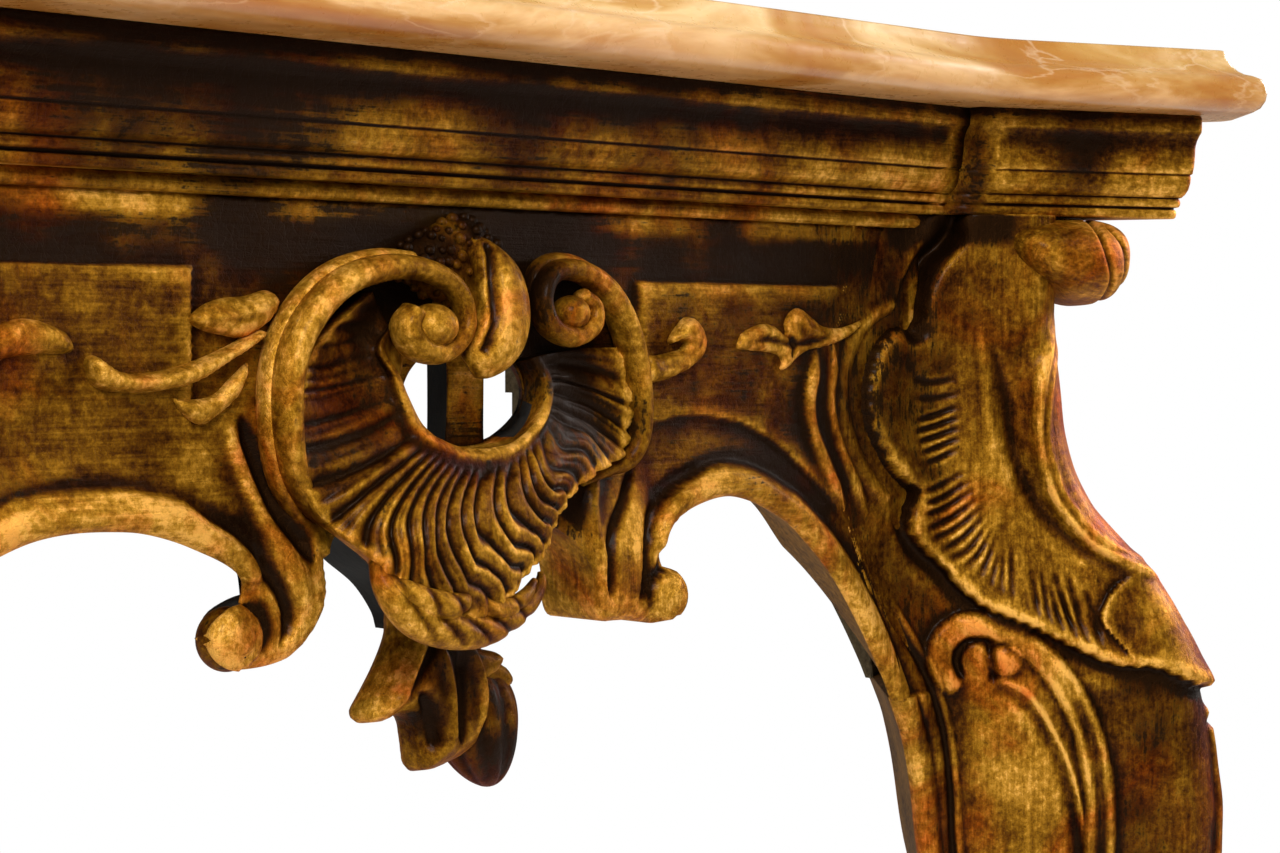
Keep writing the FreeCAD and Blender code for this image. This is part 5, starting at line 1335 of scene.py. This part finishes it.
LIP_CUTS = [
    ([(-60, 644), (-55, 634), (-40, 621)], 1.9, 1.7), ([(-48, 642), (-40, 632),
    (-22, 620)], 1.8, 1.9), ([(-31, 640), (-22, 630), (-6, 621)], 2.0, 2.2), ([(-12, 641),
    (-4, 631), (7, 626)], 1.7, 1.7), ([(-73, 652), (-68, 639), (-57, 625)], 1.9, 1.4)]
ornament("shell_lip_carved", gouged(joined([swept(LIP, 30, 1.0), swept(CURL, 24, 0.9),
                                            swept(FOLD, 20, 0.9)]), LIP_CUTS), [])


# Crest over the shell: a smooth tongue of limewood that curls down between the scrolls, on
# a mound carved into pebbles with a round gouge. Both are glued to the apron's tongue.
def pillow(outline, y, front, back, radius, cuts=(), step=1.7):
    """A rounded form over an outline; cuts are (line, width, height) on its front."""
    ring = flow(outline, step, True)
    area = sum(a[0] * b[1] - b[0] * a[1] for a, b in zip(ring, np.roll(ring, -1, axis=0)))
    ring = ring if area > 0 else ring[::-1]
    points, triangles, _ = board_mesh([ring], step, 0.9)
    x, z = points[:, 0], points[:, 1]
    gap = from_line(x, z, np.concatenate([ring, ring[:1]]))[0]
    rounded = dome(1 - np.minimum(gap / radius, 1), 1)
    rounded[:len(ring)] = 0
    height = front * rounded + uneven(x, z, 6, 0.22) * rounded
    for line, width, rise in cuts:
        height += bead(x, z, flow(line, 2), width, rise) * rounded
    vertices = np.concatenate([np.column_stack([x, y - height, z]),
                               np.column_stack([x, y + back * rounded, z])]) / 1000
    index = np.arange(len(points)) + len(points)
    index[:len(ring)] = np.arange(len(ring))
    faces = triangles.tolist() + index[triangles[:, ::-1]].tolist()
    return vertices, faces


TONGUE = [
    (-2, -120, 790, 3), (2, -127, 783, 7.5), (6, -132, 772, 11.5), (7, -134, 758, 13.0),
    (3, -134, 747, 13.5), (-4, -132, 739, 11), (-9, -129, 735, 6)]
ornament("shell_crest_tongue", gouged(swept(TONGUE, 40, 0.85), [
    ([(1, 786), (-2, 772), (-3, 757), (-8, 742)], 1.8, 3.2)]), ["shell_crest"])
MOUND = [
    (-44, 779), (-36, 786), (-26, 791), (-13, 797.5), (0, 800), (9, 796), (19, 789), (24, 780),
    (16, 770), (4, 764), (-8, 760), (-20, 764), (-32, 770), (-42, 773)]
scatter, given = node_group("crest_pebbles", [
    ("Mound", "Geometry"), ("Spacing", "Float"), ("Smallest", "Float"), ("Largest", "Float"),
    ("Finish", "Material"), ("Pebbles", "Geometry")])
spread = add(scatter, "GeometryNodeDistributePointsOnFaces", {
    "Mesh": given["Mound"], "Distance Min": given["Spacing"], "Density Max": 90000.0,
    "Seed": 5}, distribute_method="POISSON")
pebble = add(scatter, "GeometryNodeMeshIcoSphere", {"Radius": 1.0, "Subdivisions": 3})
size = add(scatter, "FunctionNodeRandomValue", {"Seed": 3, 2: given["Smallest"],
                                                3: given["Largest"]}, data_type="FLOAT")
laid = add(scatter, "GeometryNodeInstanceOnPoints", {
    "Points": spread, "Instance": pebble, "Scale": size})
finished(scatter, laid, given["Finish"], "Pebbles")
mound = pillow(MOUND, -114.5, 11, 0.5, 14)
seed_mesh = bpy.data.meshes.new("mound")
seed_mesh.from_pydata(mound[0].tolist(), [], mound[1][:len(mound[1]) // 2])
pebbles = grown(seed_mesh, scatter, {"Spacing": 0.0042, "Smallest": 0.0016,
                                     "Largest": 0.0029, "Finish": carved_gilding})
# the mound's top is painted darker, as painted shade under the cornice
ornament("shell_crest_pebbles", joined([mound, pebbles]), [], 10, 0.0008,
         [(-0.03, -0.12, 0.79, 0.022, 0.34), (0.01, -0.12, 0.798, 0.022, 0.4)])

# Pendant: a flower of broad leaves and a ribbed bud that hang below the shell. They are
# carved from limewood in the round, glued to the end of the board and gilded with it.
FLOWER = [
    (-29.2, 631), (-31.5, 618), (-38.3, 604.9), (-46.1, 593.9), (-50.5, 587.1), (-47.8, 582.3),
    (-38.4, 581.8), (-31.1, 584.2), (-24.8, 580.8), (-22.6, 571.9), (-19.9, 559.3), (-11.3, 557.8),
    (-0.9, 560.3), (4.4, 561.9), (13.2, 568), (18.1, 585.4), (18.1, 603.4), (14.4, 616.7),
    (12, 628), (-13.9, 634)]
FLOWER_CUTS = [
    ([(-24, 622), (-32, 603), (-44, 588)], 3.4, 3.4), ([(-16, 620), (-27, 602),
    (-33, 590)], 2.2, -3.0), ([(-28, 596), (-21, 588), (-17, 575), (-16, 566)], 2.8, -5.0),
    ([(-18, 618), (-11, 595), (-10, 566)], 2.4, 3.4), ([(-6, 612), (-4, 590),
    (-4, 568)], 2.0, -3.6), ([(-10, 624), (3, 606), (9, 590), (7, 572)], 3.0, 4.0), ([(2, 618),
    (12, 604), (16, 590)], 1.8, -2.6)]
STUB = [
    (-4.6, 612), (4.8, 611.5), (13.7, 609.7), (24.6, 606.1), (20.6, 599.1), (10.7, 596.3),
    (0.9, 600.7)]
ornament("pendant_flower_carved", joined([pillow(FLOWER, -101, 19, 9, 15, FLOWER_CUTS),
                                          pillow(STUB, -112, 7, 6, 6)]), ["pendant_flower"],
         20, 0.0013, [(-0.005, -0.108, 0.612, 0.02, 0.35), (-0.018, -0.11, 0.585, 0.014, 0.3)])
up = np.linspace(0.03, np.pi - 0.03, 60)[:, None]
turn = np.linspace(0, 2 * np.pi, 120, endpoint=False)[None]
fat = 1 + 0.18 * np.cos(up - 0.4)
groove = 1 - 0.11 * np.abs(np.cos(turn * 4.5 + 0.3 * np.cos(up))) ** 3
bud = np.stack([19.5 * np.sin(up) * fat * groove * np.cos(turn),
                17.0 * np.sin(up) * fat * groove * np.sin(turn),
                27.5 * np.cos(up) + 0 * turn], axis=-1)
bud = bud + np.stack([4.0 * np.cos(up) ** 2 - 3 * np.cos(up), 0 * up, 0 * up], axis=-1)
TIP_LEAF = [
    (14, 603), (19.6, 604), (28.6, 602.1), (35.2, 597.4), (36.4, 592.7), (31.6, 589), (24.4, 591.5),
    (16, 595)]
ornament("pendant_bud_carved", joined([shut(bud + (20.5, -101.0, 573.0)),
                                       pillow(TIP_LEAF, -106, 6, 5, 6)]), ["pendant_bud"],
         20, 0.0012, [(0.025, -0.118, 0.562, 0.016, 0.34), (0.02, -0.118, 0.59, 0.016, 0.2)])

# Ball of each volute: a round knob of the bracket's own wood, left standing proud where
# the moulded edge of the arch runs out, and worn smooth.
for name, centre, radii in (("volute_ball_left", (-129, -119, 626.3), (13.2, 11.0, 13.2)),
                            ("volute_ball_right", (121.5, -119, 626.2), (11.0, 10.0, 11.6))):
    ornament(name, knob(centre, radii, 30, 60), [], 8, 0.0011,
             [(centre[0] / 1000, -0.125, 0.614, 0.010, 0.2)])

# Sprays: curled branches and leaves beside the shell and towards the legs, sawn from thin
# limewood, carved in low relief and glued to the board. Cuts are their veins and folds.
SPRAY_LEFT = [
    (-193.4, 733.9), (-191.6, 729.3), (-184.4, 726.6), (-171.6, 725.6), (-157.7, 726.2),
    (-143.4, 729.1), (-131.3, 735), (-119.4, 741.3), (-108.9, 748.1), (-112.8, 750.3),
    (-125.8, 744.3), (-141, 738.6), (-157.6, 734.6), (-173.9, 733.4), (-183.3, 736.4),
    (-190, 740.5), (-194, 738.5)]
SPRAY_RIGHT = [
    (108, 726), (119.5, 726.5), (130, 728.8), (140.3, 733), (147.3, 738.3), (150, 745),
    (148.2, 751), (144.7, 755.2), (141.2, 757.2), (136.8, 756.3), (131.6, 752), (128, 748),
    (126.4, 743.7), (131.6, 744.9), (136.8, 744.9), (134.2, 741.9), (126.4, 740), (117, 739),
    (108, 739.3)]
LEAF_LEFT = [
    (-145.6, 754), (-139.3, 759.6), (-129.6, 762.8), (-118.3, 763.8), (-107.3, 766.3),
    (-101.2, 762.3), (-104.8, 755), (-111.4, 750.1), (-119.9, 746.9), (-129.7, 748.1),
    (-139.4, 750.1)]
LEAF_LOW = [
    (-153.5, 723.3), (-146.8, 722.5), (-134.7, 723.8), (-126.4, 730.1), (-116.5, 737.1),
    (-120.5, 725.1), (-129.9, 717.2), (-139.7, 712.4), (-148, 716.5)]
LEAVES_RIGHT = [
    (173.5, 741.6), (176, 748.6), (184.5, 752.5), (194.7, 754.3), (203.5, 752.4), (209.7, 748.6),
    (209.3, 754.9), (214.4, 760.6), (221, 761.9), (229.8, 757.5), (237.6, 753.5), (249.4, 752),
    (261.4, 754), (269.4, 756.2), (262.4, 749.7), (249.5, 744.8), (237.7, 742.3), (227, 740.8),
    (218.3, 736.7), (211.7, 732.3), (205.4, 731), (207, 735.5), (203, 739), (192, 740.4),
    (182.7, 740.7)]
LEAF_CUTS = [
    ([(178, 745), (196, 746.5), (214, 744), (240, 747.5), (264, 753)], 1.8, -2.0), ([(210, 750),
    (214, 744), (212, 736)], 1.6, -2.4), ([(218, 760), (224, 751), (238, 748)], 1.8, 1.6),
    ([(184, 750), (194, 750.5), (204, 747.5)], 1.8, 1.4)]
for name, forms, replaced in (
        ("spray_left_carved", [pillow(SPRAY_LEFT, -117, 8, 3, 4.5),
                               pillow(LEAF_LEFT, -117, 6, 3, 8, [
                                   ([(-141, 754), (-124, 757), (-106, 760)], 1.5, 1.6)]),
                               pillow(LEAF_LOW, -117, 5, 3, 7)], ["spray_left"]),
        ("spray_right_carved", [pillow(SPRAY_RIGHT, -117, 8.5, 3, 6.5, [
            ([(112, 735), (124, 734.5), (136, 738), (144, 744), (145, 751)], 2.0, -2.2)])],
         ["spray_right"]),
        ("leaf_spray_right_carved", [pillow(LEAVES_RIGHT, -117, 4.6, 3, 8, LEAF_CUTS)],
         ["leaf_spray_right"]),
        ("leaf_spray_left_carved", [pillow([(-x - 26, z) for x, z in LEAVES_RIGHT],
                                           -117, 6, 3, 7)], ["leaf_spray_left"])):
    ornament(name, joined(forms), replaced, 14, 0.0010)

# Head of each leg: a leaf of the leg's own wood that rolls over outwards under the corner
# block, its end folded. It stands along the diagonal, in millimetres like the leg.
ROLL_TOP, ROLL_Z = 811, 785
length = np.linspace(-1, 1, 120)[:, None]
turn = np.linspace(0, 2 * np.pi, 150, endpoint=False)[None]
girth = (1 - np.abs(length) ** 3.6) ** 0.42
s = 48 + 38.5 * length + 2.5 * girth * np.sin(turn) * length
n = (60 - 12 * ramp(s, 30, 84)) * girth * np.sign(np.cos(turn)) * np.abs(np.cos(turn)) ** 0.8
tall = 23.3 * (0.62 + 0.38 * ramp(s, 12, 58))
z = ROLL_TOP - tall + tall * girth * np.sign(np.sin(turn)) * np.abs(np.sin(turn)) ** 0.85
n = n * (1 - 0.30 * ramp(ROLL_Z - z, 2, 18) * (1 - ramp(s, 32, 50)))
cut = sum(depth * near(apart(s, z, line, 2), 1.5) for depth, line in (
    (3.0, [(62, 811), (68.5, 791), (72, 777), (69.6, 762)]),
    (2.8, [(72, 806), (79, 795), (81, 779), (78, 763)])))
s, n, z = s - 0.3 * cut, n * (1 - cut / 42), ROLL_Z + (z - ROLL_Z) * (1 - cut / 20)
for side, sign in (("right", 1), ("left", -1)):
    points = np.stack([sign * (LEG_X + ROOT * (s + n)), LEG_Y - ROOT * (s - n), z], axis=-1)
    wear(carve(f"leg_roll_{side}_carved", *shut(points), board_gilding, [f"leg_roll_{side}"]),
         18, 0.0013, base=-0.26)

# Side aprons: limewood boards like the front one, with one arch each. The foot of the arch
# is undercut behind, so that only its moulded edge shows from the front.
SIDE_FACE, SIDE_BACK, APRON_TOP = 382.5, 352.5, 811
SIDE_ARCH = [
    (-23.5, 560), (-17.5, 571), (-4.5, 591.5), (9.5, 611), (24.5, 628.5), (39.5, 642.5),
    (54.5, 654), (67.5, 661), (81.5, 667), (95.5, 670.5), (112, 671.5), (150, 671), (174, 669),
    (198, 662), (218, 652), (236, 640.5)]
outline = np.concatenate([along((-50, 560), (-25, 560), 12), flow(SIDE_ARCH, 2.6)[:-1],
                          along((236, 640.5), (236, APRON_TOP), 70),
                          along((234, APRON_TOP), (-49, APRON_TOP), 110),
                          along((-50, APRON_TOP), (-50, 562.5), 95)])
points, triangles, starts = board_mesh([outline], 2.6)
y, z = points.T
gap = apart(y, z, SIDE_ARCH)
height = np.interp(gap, *ARCH_LIP) + uneven(y, z, 14, 0.35)
height += 2.2 * ramp(773 - z, -0.8, 0.8) * ramp(y, 30, 31.6) * (1 - ramp(y, 208, 209.6)) * (
    ramp(z, 690, 725))
height += bead(y, z, flow([(-12, 640), (10, 668), (40, 690), (74, 700), (106, 697)], 4),
               2.0, 2.2)
behind = y - 28 * near(gap, 22) * (1 - ramp(y, 45, 110))
layers = [np.column_stack([SIDE_FACE + height, y, z]),
          np.column_stack([SIDE_FACE + height - SKIN, y, z]),
          np.column_stack([np.full(len(y), SIDE_BACK + ARRIS), behind, z]),
          np.column_stack([np.full(len(y), SIDE_BACK), behind, z])]
faces, skins, _ = boarded(points, triangles, starts)
# painted shade: the top of each side apron is painted darker under the cornice
for side, sign in (("right", 1), ("left", -1)):
    from_one_block(np.concatenate(layers) / 1000, faces, np.zeros(len(faces)), skins,
                   [side_gilding, bare_wood], [(f"side_apron_{side}_carved",
                                                [f"side_apron_{side}"])],
                   soot_and_painted_light=np.tile(0.25 * ramp(z, 780, 805), 4),
                   upright=np.tile(1 - ramp(y, 5, 55), 4), ways=(sign, 1, 1))

# Flat and hidden pieces keep their plain shapes: the gilded foot pads, and the bare rail,
# bearers and glue blocks that hold the stand together
for name, paint in (("foot_pad_right", board_gilding), ("foot_pad_left", board_gilding),
                    ("back_rail", bare_wood), ("bearer_right", bare_wood),
                    ("bearer_left", bare_wood), ("glue_blocks", bare_wood)):
    for slot in nodes[name].material_slots:
        slot.material = paint
